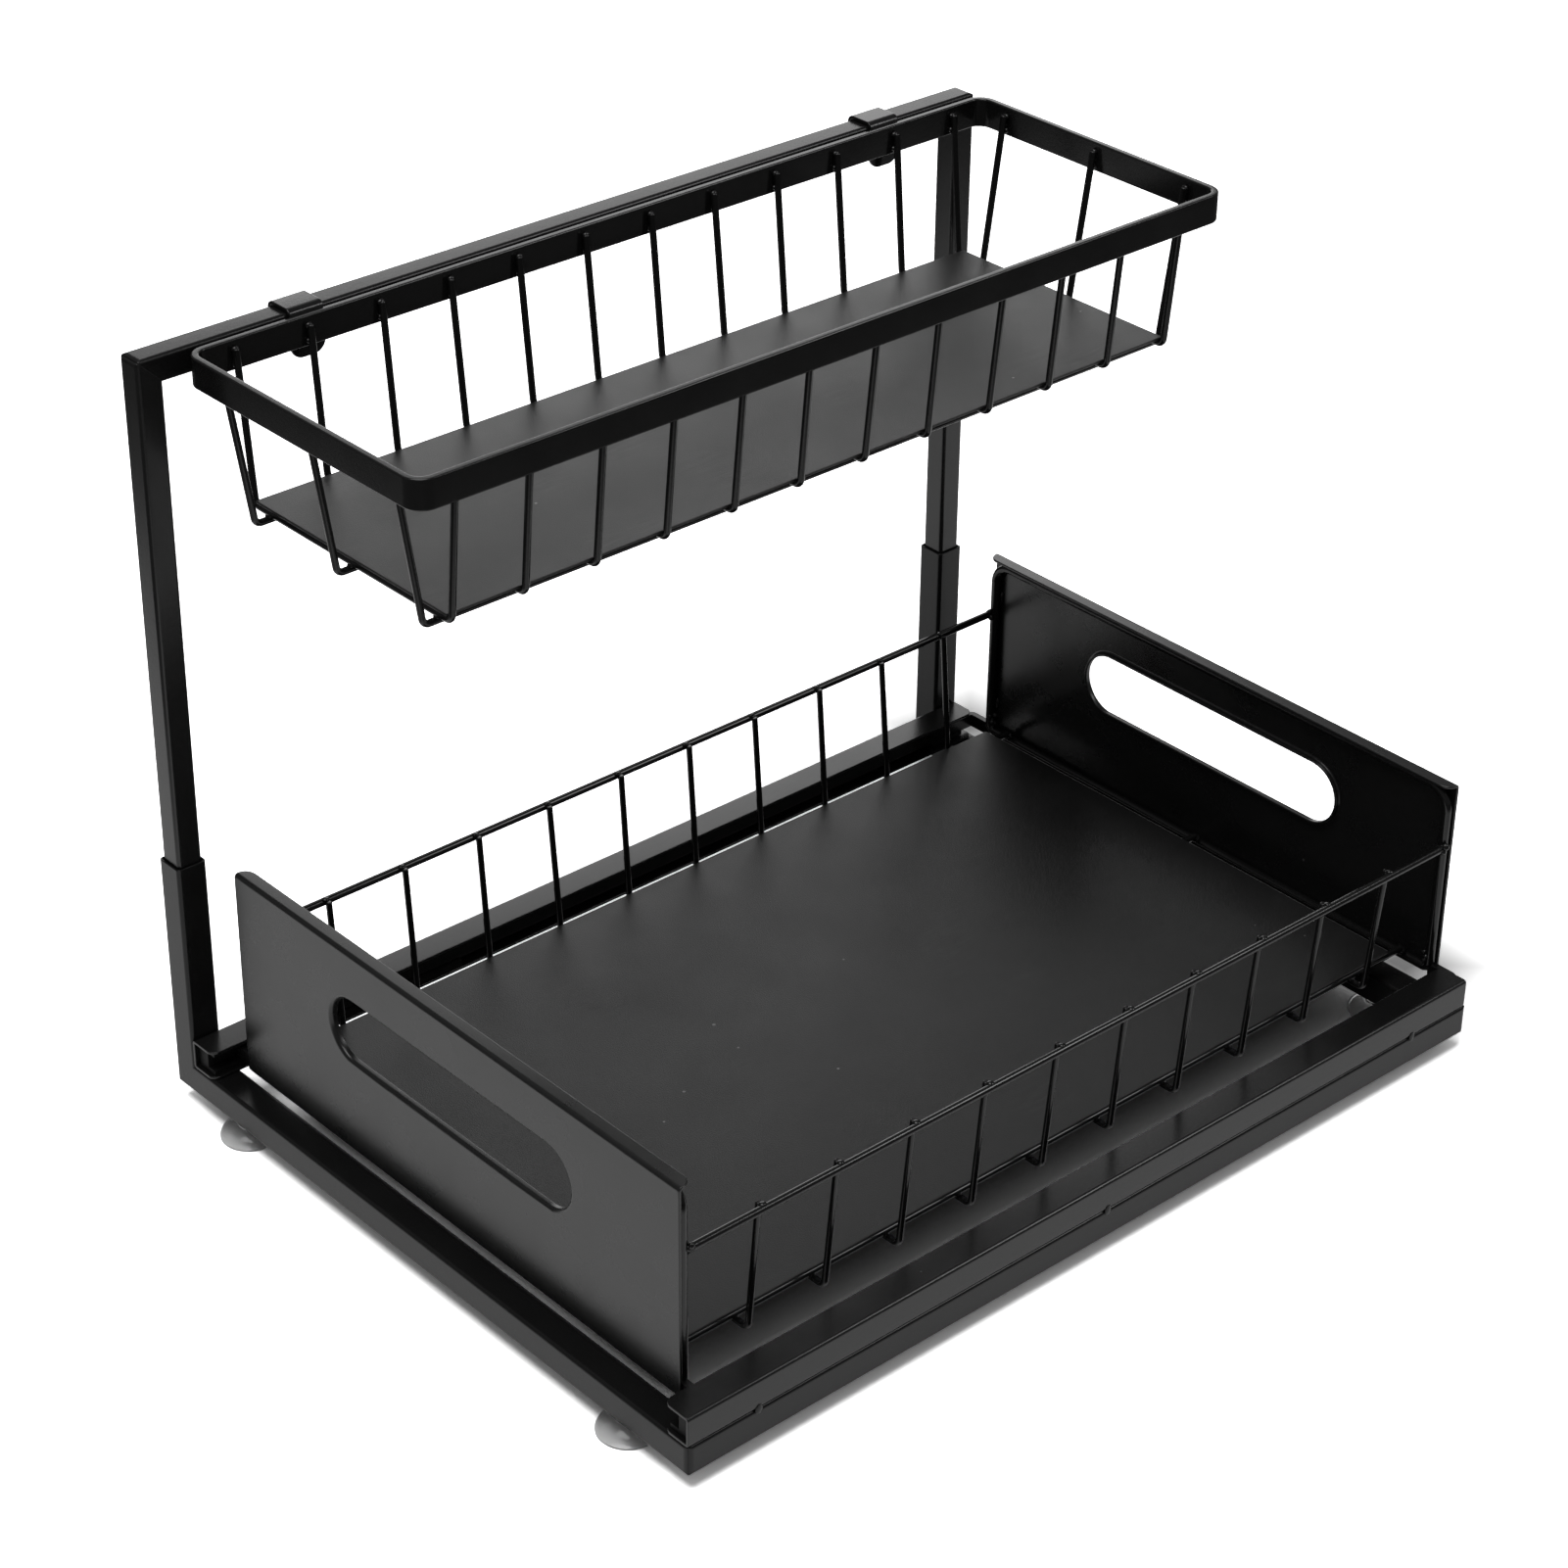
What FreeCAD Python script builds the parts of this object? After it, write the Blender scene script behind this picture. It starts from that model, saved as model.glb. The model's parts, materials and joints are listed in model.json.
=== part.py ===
import FreeCAD, Part
import math
import os
import Sketcher

# Two-tier under-sink organizer: an L-shaped tube frame on suction feet, a pull-out wire drawer
# between two slide channels, and a wire basket hooked over a lift-out upper frame.
# Front is -Y, +Z is up, and the origin is on the floor under the middle of the object.

doc = FreeCAD.newDocument("UnderSinkOrganizer")
sheet = doc.addObject("Spreadsheet::Sheet", "Sizes")


class Size:
    """A length with its value now and the expression that follows the sheet."""

    def __init__(self, value, text):
        self.value = value
        self.text = text

    def __add__(self, other):
        return Size(self.value + other.value, f"({self.text} + {other.text})")

    def __sub__(self, other):
        return Size(self.value - other.value, f"({self.text} - {other.text})")

    def __mul__(self, times):
        if isinstance(times, Size):
            return Size(self.value * times.value, f"({self.text} * {times.text})")
        return Size(self.value * times, f"({self.text} * {times})")

    def __truediv__(self, parts):
        if isinstance(parts, Size):
            return Size(self.value / parts.value, f"({self.text} / {parts.text})")
        return Size(self.value / parts, f"({self.text} / {parts})")

    def __neg__(self):
        return Size(-self.value, f"(-{self.text})")


ZERO = Size(0.0, "0")
ONE = Size(1.0, "1")
rows = []


def size(name, value, note):
    """Writes one driving size into the sheet and gives it back as a Size."""
    rows.append(name)
    line = len(rows)
    sheet.set(f"A{line}", name)
    sheet.set(f"B{line}", str(value))
    sheet.set(f"C{line}", note)
    sheet.setAlias(f"B{line}", name)
    return Size(float(value), f"Sizes.{name}")


# Frame sizes
base_width = size("base_width", 310, "outside width of the tube frame")
base_length = size("base_length", 410, "outside depth of the tube frame, front to rear")
foot_height = size("foot_height", 7, "floor to the underside of the tubes")
tube = size("tube", 13, "outside of the square frame tube")
tube_wall = size("tube_wall", 0.8, "wall of every square tube")
tube_round = size("tube_round", 1.6, "rounding of the tube's long edges")
sleeve_height = size("sleeve_height", 103, "underside of the tubes to the top of the post sleeves")
frame_height = size("frame_height", 312.5, "underside of the tubes to the top of the crossbar")
telescope_gap = size("telescope_gap", 0.3, "play between an upper post and its sleeve, each side")
post_insertion = size("post_insertion", 60, "length of upper post inside its sleeve")
plug_height = size("plug_height", 8, "height of the stop plug in each sleeve")

# Slide channel sizes
channel_height = size("channel_height", 12.8, "height of the slide channels")
channel_depth = size("channel_depth", 13.5, "width of the channel flanges")
channel_sheet = size("channel_sheet", 1.2, "sheet of the slide channels")
channel_setback = size("channel_setback", 2, "rear end of the channels in front of the frame's rear")
flange_round = size("flange_round", 4, "rounding of the flange corners in plan")
bend_round = size("bend_round", 1.5, "outside rounding of folded sheet")
liner_length = size("liner_length", 120, "length of the nylon liner at the channel front")
liner_setback = size("liner_setback", 2, "liner behind the open channel end")
liner_web = size("liner_web", 6, "thickness of the liner behind the runner")
liner_depth = size("liner_depth", 10.5, "width of the liner")
slide_gap = size("slide_gap", 0.3, "play of the runner and its shoe")
shoe_length = size("shoe_length", 18, "length of the runner's rear shoe")
shoe_setback = size("shoe_setback", 9, "rear end of the shoe in front of the runner's rear end")

# Suction foot sizes
foot_radius = size("foot_radius", 12, "radius of the suction cup's lip")
foot_lip = size("foot_lip", 1.2, "thickness of the cup's lip")
foot_neck = size("foot_neck", 4.2, "radius of the cup's body under the tube")
foot_body = size("foot_body", 2.8, "height of the cup's straight body")
foot_hollow = size("foot_hollow", 2.6, "depth of the hollow under the cup")
foot_pin = size("foot_pin", 2.2, "radius of the pin through the tube wall")
foot_knob = size("foot_knob", 3.4, "radius of the knob inside the tube")
foot_knob_height = size("foot_knob_height", 3, "height of the knob inside the tube")
foot_inset = size("foot_inset", 40, "centre of a foot from the end of its tube")
hole_gap = size("hole_gap", 0.1, "play of the pin in its hole")

# Weld spot sizes
weld_long = size("weld_long", 2.6, "half length of a weld spot along the seam")
weld_high = size("weld_high", 1.9, "half height of a weld spot across the seam")
weld_rise = size("weld_rise", 0.6, "rise of a weld spot above the sheet")
weld_inset = size("weld_inset", 32, "centre of the end weld spots from the channel end")

# Drawer sizes
front_inset = size("front_inset", 12.5, "drawer front behind the frame front")
rear_overhang = size("rear_overhang", 4, "drawer rear behind the frame rear")
panel_side_gap = size("panel_side_gap", 19, "panels' side edges inside the outer side of the slide channels")
panel_height = size("panel_height", 89.7, "height of the drawer's end panels")
panel_low = size("panel_low", 16.5, "underside of the tubes to the panels' lower edge")
panel_sheet = size("panel_sheet", 1.2, "sheet of the end panels")
panel_round = size("panel_round", 2, "rounding of the panels' lower corners")
panel_flange = size("panel_flange", 6.4, "depth of the panels' folded top edge")
panel_flange_round = size("panel_flange_round", 5, "rounding of the folded edge's free corners")
slot_width = size("slot_width", 141, "width of the handle slot")
slot_height = size("slot_height", 27, "height of the handle slot")
slot_drop = size("slot_drop", 34.9, "panel's top edge to the middle of the slot")
slot_lip = size("slot_lip", 2, "turned-in edge of the handle slot behind the sheet")
hoop_rod = size("hoop_rod", 4, "rod of the panel hoops")
hoop_inset = size("hoop_inset", 0.4, "outside of the hoop inside the panels' side edges")
hoop_round = size("hoop_round", 10, "bend of the hoop at the middle of its rod")
side_rod = size("side_rod", 3.2, "rod of the drawer's top side wires")
side_inset = size("side_inset", 1.2, "middle of a side wire inside the panel edge")
side_level = size("side_level", 78, "underside of the tubes to the middle of the side wires")
floor_rod = size("floor_rod", 3, "rod of the wires along the drawer floor")
drawer_wire = size("drawer_wire", 2.6, "wire of the drawer's cross wires")
drawer_wire_rise = size("drawer_wire_rise", 1.2, "wire ends above the middle of the side wires")
drawer_wire_level = size("drawer_wire_level", 21, "underside of the tubes to the middle of the cross wires")
drawer_wire_count = size("drawer_wire_count", 10, "number of cross wires")
drawer_wire_start = size("drawer_wire_start", 33.8, "first cross wire from the front hoop")
drawer_wire_end = size("drawer_wire_end", 30.6, "last cross wire from the rear hoop")
drawer_lean = size("drawer_lean", 4.8, "outward lean of a cross wire's legs")
drawer_bend = size("drawer_bend", 3, "bend of the cross wires at the middle of the wire")
floor_sheet = size("floor_sheet", 1.2, "sheet of the drawer floor and of the basket floor")
floor_side_gap = size("floor_side_gap", 3, "drawer floor to the cross wires at its sides")
floor_end_gap = size("floor_end_gap", 9.2, "drawer floor to the hoops at its ends")
floor_shift = size("floor_shift", 1.5, "drawer floor to the left of the drawer's middle")
floor_rod_inset = size("floor_rod_inset", 3.9, "outer floor wires inside the cross wires' bends")
runner_height = size("runner_height", 6, "height of the drawer's runner bars")
runner_bar = size("runner_bar", 3, "thickness of the runner bars")
lug_overlap = size("lug_overlap", 2.6, "bent end of a runner behind the panel's side edge")

# Basket sizes
rim_width = size("rim_width", 137, "outside width of the basket rim")
rim_height = size("rim_height", 12, "height of the rim bar")
rim_bar = size("rim_bar", 3, "thickness of the rim bar")
rim_round = size("rim_round", 8, "outside rounding of the rim corners in plan")
rim_edge = size("rim_edge", 0.7, "rounding of the rim bar's edges")
rim_drop = size("rim_drop", 0.5, "rim top below the crossbar top")
rim_front = size("rim_front", 19, "rim behind the frame front")
rim_overhang = size("rim_overhang", 1, "rim behind the frame rear")
basket_depth = size("basket_depth", 62.7, "rim top to the middle of the basket's cross wires")
basket_wire = size("basket_wire", 2.8, "wire of the basket")
basket_wire_drop = size("basket_wire_drop", 3, "wire ends below the rim top")
basket_wire_count = size("basket_wire_count", 12, "number of cross wires")
basket_wire_end = size("basket_wire_end", 20, "first and last cross wire from the rim's ends")
basket_lean = size("basket_lean", 5.5, "outward lean of a cross wire's legs")
basket_bend = size("basket_bend", 3, "bend of the basket wires at the middle of the wire")
long_wire_count = size("long_wire_count", 3, "number of wires along the basket")
long_wire_side = size("long_wire_side", 18.5, "outer long wires from the rim's sides")
long_lean = size("long_lean", 9, "outward lean of a long wire's legs")
plate_side_gap = size("plate_side_gap", 0.4, "basket floor inside the bends of the cross wires")
plate_end_gap = size("plate_end_gap", 4, "basket floor to the long wires at its ends")
hook_sheet = size("hook_sheet", 1.5, "strip of the hooks")
hook_width = size("hook_width", 15, "width of a hook")
hook_gap = size("hook_gap", 0.2, "play of a hook on the crossbar")
hook_lip = size("hook_lip", 10, "outer lip of a hook below the crossbar top")
hook_tongue = size("hook_tongue", 5.5, "inner leg of a hook below the rim")
hook_round = size("hook_round", 5, "rounding of the leg ends")
hook_inset = size("hook_inset", 54, "middle of a hook from the rim's end")

doc.recompute()

# Places that follow from the sizes, in the object's own frame
left = -(base_width / 2)
right = base_width / 2
front = -(base_length / 2)
rear = base_length / 2
floor_tube = foot_height
channel_floor = floor_tube + tube
channel_length = base_length - channel_setback
channel_inside = channel_height - channel_sheet * 2
upper_tube = tube - (tube_wall + telescope_gap) * 2
upper_shift = (tube - upper_tube) / 2
upper_foot = floor_tube + sleeve_height - post_insertion
crossbar_top = floor_tube + frame_height
drawer_middle = (left + tube + right) / 2
panel_half = (right - left - tube) / 2 - panel_side_gap
panel_floor = floor_tube + panel_low
slot_middle = panel_height - slot_drop
drawer_front = front + front_inset
drawer_rear = rear + rear_overhang
drawer_length = drawer_rear - drawer_front
hoop_half = panel_half - hoop_inset - hoop_rod / 2
hoop_front = drawer_front + panel_sheet + hoop_rod
hoop_rear = drawer_rear - panel_sheet - hoop_rod
side_half = panel_half - side_inset
cross_half = side_half - side_rod / 2 - drawer_wire / 2
drawer_foot = cross_half - drawer_lean - drawer_bend
wire_length = hoop_rear - hoop_front
drawer_wire_pitch = (wire_length - drawer_wire_start - drawer_wire_end) / (drawer_wire_count - ONE)
cross_level = floor_tube + drawer_wire_level
floor_wire_level = cross_level + drawer_wire / 2 + floor_rod / 2
runner_floor = channel_floor + channel_height / 2 - runner_height / 2
runner_outside = right - channel_sheet - liner_web - slide_gap
runner_reach = runner_outside - drawer_middle
rim_half = rim_width / 2
rim_length = base_length - rim_front + rim_overhang
rim_half_length = rim_length / 2
rim_top = crossbar_top - rim_drop
rim_left = left + upper_shift + upper_tube + hook_gap + hook_sheet
basket_middle = rim_left + rim_half
basket_centre = front + rim_front + rim_half_length
inside_half = rim_half - rim_bar - basket_wire / 2
inside_half_length = rim_half_length - rim_bar - basket_wire / 2
basket_foot = inside_half - basket_lean - basket_bend
long_foot = inside_half_length - long_lean - basket_bend
basket_wire_pitch = (rim_length - basket_wire_end * 2) / (basket_wire_count - ONE)
long_wire_pitch = (rim_width - long_wire_side * 2) / (long_wire_count - ONE)
basket_top = rim_top - basket_wire_drop
basket_cross_level = rim_top - basket_depth
basket_long_level = basket_cross_level - basket_wire

# Directions for placing a piece: where its own X, Y and Z axes point
EAST = FreeCAD.Vector(1, 0, 0)
NORTH = FreeCAD.Vector(0, 1, 0)
UP = FreeCAD.Vector(0, 0, 1)
UPRIGHT = (EAST, NORTH, UP)

# A quarter turn in radians, and how close two coordinates count as the same
QUARTER = math.pi / 2
TOUCH = 1e-6

made = []


def tie(item, name, amount):
    """Binds one property of an object to the sheet."""
    item.setExpression(name, amount.text)


def place(item, axes, x, y, z):
    """Turns a piece to its three directions and binds its origin to the sheet."""
    item.Placement = FreeCAD.Placement(FreeCAD.Vector(), FreeCAD.Rotation(*axes, "ZXY"))
    for letter, amount in zip("xyz", (x, y, z)):
        tie(item, f".Placement.Base.{letter}", amount)


def finished(item, label):
    """Names a finished piece and puts it on the list of pieces to write."""
    item.Label = label
    made.append(item)
    return item


def new_body(label):
    """Starts a body for one piece."""
    return finished(doc.addObject("PartDesign::Body", label), label)


def sketch_on(body, role, shift=ZERO):
    """Starts a sketch on one of a body's own planes, moved along the plane's normal."""
    plane = next(item for item in body.Origin.OriginFeatures if item.Role == role)
    sketch = body.newObject("Sketcher::SketchObject", "Sketch")
    sketch.AttachmentSupport = [(plane, "")]
    sketch.MapMode = "FlatFace"
    tie(sketch, "AttachmentOffset.Base.z", shift)
    return sketch


def hold(sketch, kind, places, amount):
    """Adds one dimension to a sketch and binds it to the sheet."""
    index = sketch.addConstraint(Sketcher.Constraint(kind, *places, amount.value))
    sketch.setExpression(f"Constraints[{index}]", amount.text)


def pin(sketch, item, point, x, y):
    """Fixes one point of a sketch at a place that follows the sheet."""
    for kind, axis, amount in (("DistanceX", -2, x), ("DistanceY", -1, y)):
        if amount is ZERO:
            sketch.addConstraint(Sketcher.Constraint("PointOnObject", item, point, axis))
        else:
            hold(sketch, kind, (item, point), amount)


def spot(x, y):
    """A sketch point at the present value of two sizes."""
    return FreeCAD.Vector(x.value, y.value, 0)


def polygon(sketch, corners):
    """Draws a closed outline through corners that follow the sheet."""
    first = sketch.GeometryCount
    count = len(corners)
    for index in range(count):
        start = spot(*corners[index])
        end = spot(*corners[(index + 1) % count])
        sketch.addGeometry(Part.LineSegment(start, end), False)
    for index in range(count):
        following = first + (index + 1) % count
        sketch.addConstraint(Sketcher.Constraint("Coincident", first + index, 2, following, 1))
    for index, (x, y) in enumerate(corners):
        pin(sketch, first + index, 1, x, y)


def rectangle(sketch, low_x, low_y, high_x, high_y):
    """Draws a rectangle between two corners that follow the sheet."""
    polygon(sketch, [(low_x, low_y), (high_x, low_y), (high_x, high_y), (low_x, high_y)])


def circle(sketch, x, y, radius):
    """Draws a circle whose middle and radius follow the sheet."""
    index = sketch.addGeometry(Part.Circle(spot(x, y), UP, radius.value), False)
    hold(sketch, "Radius", (index,), radius)
    pin(sketch, index, 3, x, y)


def rounded(sketch, half_x, half_y, radius):
    """Draws a rectangle with rounded corners around the sketch's origin."""
    first = sketch.GeometryCount
    inner_x = half_x - radius
    inner_y = half_y - radius
    ends = [((-inner_x, -half_y), (inner_x, -half_y)), ((half_x, -inner_y), (half_x, inner_y)),
            ((inner_x, half_y), (-inner_x, half_y)), ((-half_x, inner_y), (-half_x, -inner_y))]
    centres = [(inner_x, -inner_y), (inner_x, inner_y), (-inner_x, inner_y), (-inner_x, -inner_y)]
    for start, end in ends:
        sketch.addGeometry(Part.LineSegment(spot(*start), spot(*end)), False)
    for turn, centre in enumerate(centres):
        ring = Part.Circle(spot(*centre), UP, radius.value)
        begin = (turn - 1) * QUARTER
        sketch.addGeometry(Part.ArcOfCircle(ring, begin, begin + QUARTER), False)
    sides = len(ends)
    for side in range(sides):
        arc = first + sides + side
        following = first + (side + 1) % sides
        sketch.addConstraint(Sketcher.Constraint("Tangent", first + side, 2, arc, 1))
        sketch.addConstraint(Sketcher.Constraint("Tangent", arc, 2, following, 1))
    for arc, centre in enumerate(centres):
        pin(sketch, first + sides + arc, 3, *centre)
    for side in (0, 2):
        hold(sketch, "DistanceY", (first + side, 1), ends[side][0][1])
    for side in (1, 3):
        hold(sketch, "DistanceX", (first + side, 1), ends[side][0][0])


def trough(sketch, top, top_level, foot, foot_level, radius):
    """Draws a U-shaped wire's path: a leg, a bend, the floor run, a bend and a leg."""
    centre_level = foot_level + radius
    bend = foot + radius
    legs = [((-top, top_level), (-bend, centre_level)), ((bend, centre_level), (top, top_level))]
    run = ((-foot, foot_level), (foot, foot_level))
    left_leg = sketch.addGeometry(Part.LineSegment(*(spot(*end) for end in legs[0])), False)
    ring = Part.Circle(spot(-foot, centre_level), UP, radius.value)
    left_bend = sketch.addGeometry(Part.ArcOfCircle(ring, 2 * QUARTER, 3 * QUARTER), False)
    floor_run = sketch.addGeometry(Part.LineSegment(*(spot(*end) for end in run)), False)
    ring = Part.Circle(spot(foot, centre_level), UP, radius.value)
    right_bend = sketch.addGeometry(Part.ArcOfCircle(ring, 3 * QUARTER, 4 * QUARTER), False)
    right_leg = sketch.addGeometry(Part.LineSegment(*(spot(*end) for end in legs[1])), False)
    order = (left_leg, left_bend, floor_run, right_bend, right_leg)
    for before, after in zip(order, order[1:]):
        sketch.addConstraint(Sketcher.Constraint("Tangent", before, 2, after, 1))
    pin(sketch, left_leg, 1, -top, top_level)
    pin(sketch, floor_run, 1, -foot, foot_level)
    pin(sketch, floor_run, 2, foot, foot_level)
    pin(sketch, right_leg, 2, top, top_level)
    for bend_arc in (left_bend, right_bend):
        hold(sketch, "Radius", (bend_arc,), radius)


def slot(sketch, half, height, radius):
    """Draws an upright-centred slot with round ends."""
    first = sketch.GeometryCount
    low = height - radius
    high = height + radius
    sketch.addGeometry(Part.LineSegment(spot(-half, low), spot(half, low)), False)
    ring = Part.Circle(spot(half, height), UP, radius.value)
    sketch.addGeometry(Part.ArcOfCircle(ring, -QUARTER, QUARTER), False)
    sketch.addGeometry(Part.LineSegment(spot(half, high), spot(-half, high)), False)
    ring = Part.Circle(spot(-half, height), UP, radius.value)
    sketch.addGeometry(Part.ArcOfCircle(ring, QUARTER, 3 * QUARTER), False)
    pieces = 4
    for step in range(pieces):
        following = first + (step + 1) % pieces
        sketch.addConstraint(Sketcher.Constraint("Tangent", first + step, 2, following, 1))
    for arc, middle in ((first + 1, half), (first + 3, -half)):
        pin(sketch, arc, 3, middle, height)
        hold(sketch, "Radius", (arc,), radius)


def pad(body, sketch, length, middle=False):
    """Raises a sketch into a solid, to one side or evenly to both."""
    feature = body.newObject("PartDesign::Pad", "Pad")
    feature.Profile = sketch
    feature.SideType = "Symmetric" if middle else "One side"
    tie(feature, "Length", length)
    return feature


def pocket(body, sketch, depth=None):
    """Cuts a sketch into a body, to a depth or right through both ways."""
    feature = body.newObject("PartDesign::Pocket", "Pocket")
    feature.Profile = sketch
    if depth is None:
        feature.Type = "ThroughAll"
        feature.SideType = "Symmetric"
    else:
        tie(feature, "Length", depth)
    return feature


def revolve(body, sketch):
    """Turns a sketch once round its own upright axis."""
    feature = body.newObject("PartDesign::Revolution", "Revolution")
    feature.Profile = sketch
    feature.ReferenceAxis = (sketch, ["V_Axis"])
    return feature


def sweep(body, profile, path):
    """Carries a profile along a path."""
    feature = body.newObject("PartDesign::AdditivePipe", "Pipe")
    feature.Profile = profile
    feature.Spine = (path, [f"Edge{index + 1}" for index in range(path.GeometryCount)])
    return feature


def repeat(body, feature, role, pitch, count):
    """Repeats a feature along one of the body's own axes."""
    axis = next(item for item in body.Origin.OriginFeatures if item.Role == role)
    pattern = body.newObject("PartDesign::LinearPattern", "Pattern")
    pattern.Originals = [feature]
    pattern.Direction = (axis, [""])
    pattern.Mode = "Spacing"
    tie(pattern, "Offset", pitch)
    tie(pattern, "Occurrences", count)
    body.Tip = pattern
    return pattern


def round_edges(body, feature, radius, wanted):
    """Rounds the straight edges of a feature that a test picks by their two end points."""
    doc.recompute()
    names = []
    for index, edge in enumerate(feature.Shape.Edges):
        if len(edge.Vertexes) == 2 and wanted(edge.Vertexes[0].Point, edge.Vertexes[1].Point):
            names.append(f"Edge{index + 1}")
    fillet = body.newObject("PartDesign::Fillet", "Fillet")
    fillet.Base = (feature, names)
    tie(fillet, "Radius", radius)
    body.Tip = fillet
    return fillet


def near(value, *amounts):
    """Tells whether a coordinate lies at one of several sizes."""
    return any(abs(value - amount.value) < TOUCH for amount in amounts)


def square_tube(label, side, length, mitres, holes=()):
    """Makes a square tube along its own Z from its corner, with mitred ends and foot holes.

    A mitre names the end, the plane it is cut in and is longest at that plane's zero side.
    A hole is a place along the tube on its own Y = 0 face.
    """
    body = new_body(label)
    section = sketch_on(body, "XY_Plane")
    rectangle(section, ZERO, ZERO, side, side)
    rectangle(section, tube_wall, tube_wall, side - tube_wall, side - tube_wall)
    shaped = pad(body, section, length)
    for end, plane in mitres:
        cut = sketch_on(body, plane)
        if end == "low":
            polygon(cut, [(side, side), (ZERO, ZERO), (side, ZERO)])
        else:
            polygon(cut, [(side, length - side), (side, length), (ZERO, length)])
        shaped = pocket(body, cut)
    for along in holes:
        cut = sketch_on(body, "XZ_Plane")
        circle(cut, side / 2, along, foot_pin + hole_gap)
        shaped = pocket(body, cut, tube_wall)

    def outer_edge(a, b):
        upright = near(a.x - b.x, ZERO) and near(a.y - b.y, ZERO)
        return upright and near(a.x, ZERO, side) and near(a.y, ZERO, side)

    round_edges(body, shaped, tube_round, outer_edge)
    return body


def folded_channel(label, depth, height, web, flange, length):
    """Makes a C-shaped length along its own Z, with its web at X = 0 and its flanges towards +X."""
    body = new_body(label)
    section = sketch_on(body, "XY_Plane")
    polygon(section, [(ZERO, ZERO), (depth, ZERO), (depth, flange), (web, flange),
                      (web, height - flange), (depth, height - flange), (depth, height), (ZERO, height)])
    return body, pad(body, section, length)


def wire(label, radius, length, x, y, z):
    """Makes one straight wire that runs from its near end to the rear."""
    rod = doc.addObject("Part::Cylinder", label)
    tie(rod, "Radius", radius)
    tie(rod, "Height", length)
    place(rod, (UP, EAST, NORTH), x, y, z)
    return rod


def plate(label, length_x, length_y, thickness, x, y, z):
    """Makes one flat plate from its lowest corner."""
    sheet_metal = finished(doc.addObject("Part::Box", label), label)
    tie(sheet_metal, "Length", length_x)
    tie(sheet_metal, "Width", length_y)
    tie(sheet_metal, "Height", thickness)
    place(sheet_metal, UPRIGHT, x, y, z)
    return sheet_metal


def group(label, pieces):
    """Puts several like pieces under one name."""
    together = finished(doc.addObject("Part::Compound", label), label)
    together.Links = pieces
    return together


# Base frame tubes, mitred into one run from post to post round the right side
along_right = (NORTH, UP, EAST)
along_left = (-NORTH, UP, -EAST)
along_rear = (-EAST, UP, NORTH)
foot_places = (foot_inset, base_width - foot_inset)

front_tube = square_tube("front_base_tube", tube, base_width,
                         [("low", "YZ_Plane"), ("high", "XZ_Plane")], foot_places)
place(front_tube, along_right, left, front, floor_tube)
rear_tube = square_tube("rear_base_tube", tube, base_width,
                        [("low", "XZ_Plane"), ("high", "YZ_Plane")], foot_places)
place(rear_tube, along_left, right, rear, floor_tube)
right_tube = square_tube("right_base_tube", tube, base_length, [("low", "XZ_Plane"), ("high", "XZ_Plane")])
place(right_tube, along_rear, right, front, floor_tube)

# Post sleeves with the stop plugs that carry the upper posts
plug_side = tube - tube_wall * 2
plugs = []
for name, y in (("front", front), ("rear", rear - tube)):
    sleeve = square_tube(f"{name}_post_sleeve", tube, sleeve_height, [("low", "XZ_Plane")])
    place(sleeve, UPRIGHT, left, y, floor_tube)
    plug = doc.addObject("Part::Box", f"{name}_plug")
    tie(plug, "Length", plug_side)
    tie(plug, "Width", plug_side)
    tie(plug, "Height", plug_height)
    place(plug, UPRIGHT, left + tube_wall, y + tube_wall, upper_foot - plug_height)
    plugs.append(plug)
group("post_stop_plugs", plugs)

# Slide channels with their nylon liners
for name, axes, x, inner, y, liner_y in (
        ("left", (EAST, UP, -NORTH), left + tube, left + tube + channel_sheet,
         front + channel_length, front + liner_setback + liner_length),
        ("right", along_rear, right, right - channel_sheet, front, front + liner_setback)):
    channel, raised = folded_channel(f"{name}_slide_channel", channel_depth, channel_height,
                                     channel_sheet, channel_sheet, channel_length)
    folds = round_edges(channel, raised, bend_round,
                        lambda a, b: near(a.x, ZERO) and near(b.x, ZERO) and near(a.y - b.y, ZERO))
    round_edges(channel, folds, flange_round,
                lambda a, b: near(a.x, channel_depth) and near(b.x, channel_depth) and near(a.z - b.z, ZERO))
    place(channel, axes, x, y, channel_floor)
    liner_flange = channel_inside / 2 - runner_height / 2 - slide_gap
    liner, raised = folded_channel(f"{name}_channel_liner", liner_depth, channel_inside,
                                   liner_web, liner_flange, liner_length)
    place(liner, axes, inner, liner_y, channel_floor + channel_sheet)

# Weld spots on the seam between the right channel and its tube
weld_shares = (0.0, 0.5, 1.0)
weld_reach = channel_length - weld_inset * 2
spots = []
for share in weld_shares:
    bead = doc.addObject("Part::Ellipsoid", "weld_spot")
    tie(bead, "Radius1", weld_rise)
    tie(bead, "Radius2", weld_high)
    tie(bead, "Radius3", weld_long)
    bead.Angle1 = 0
    place(bead, (UP, -NORTH, EAST), right, front + weld_inset + weld_reach * share, channel_floor)
    spots.append(bead)
group("channel_weld_spots", spots)

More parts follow.
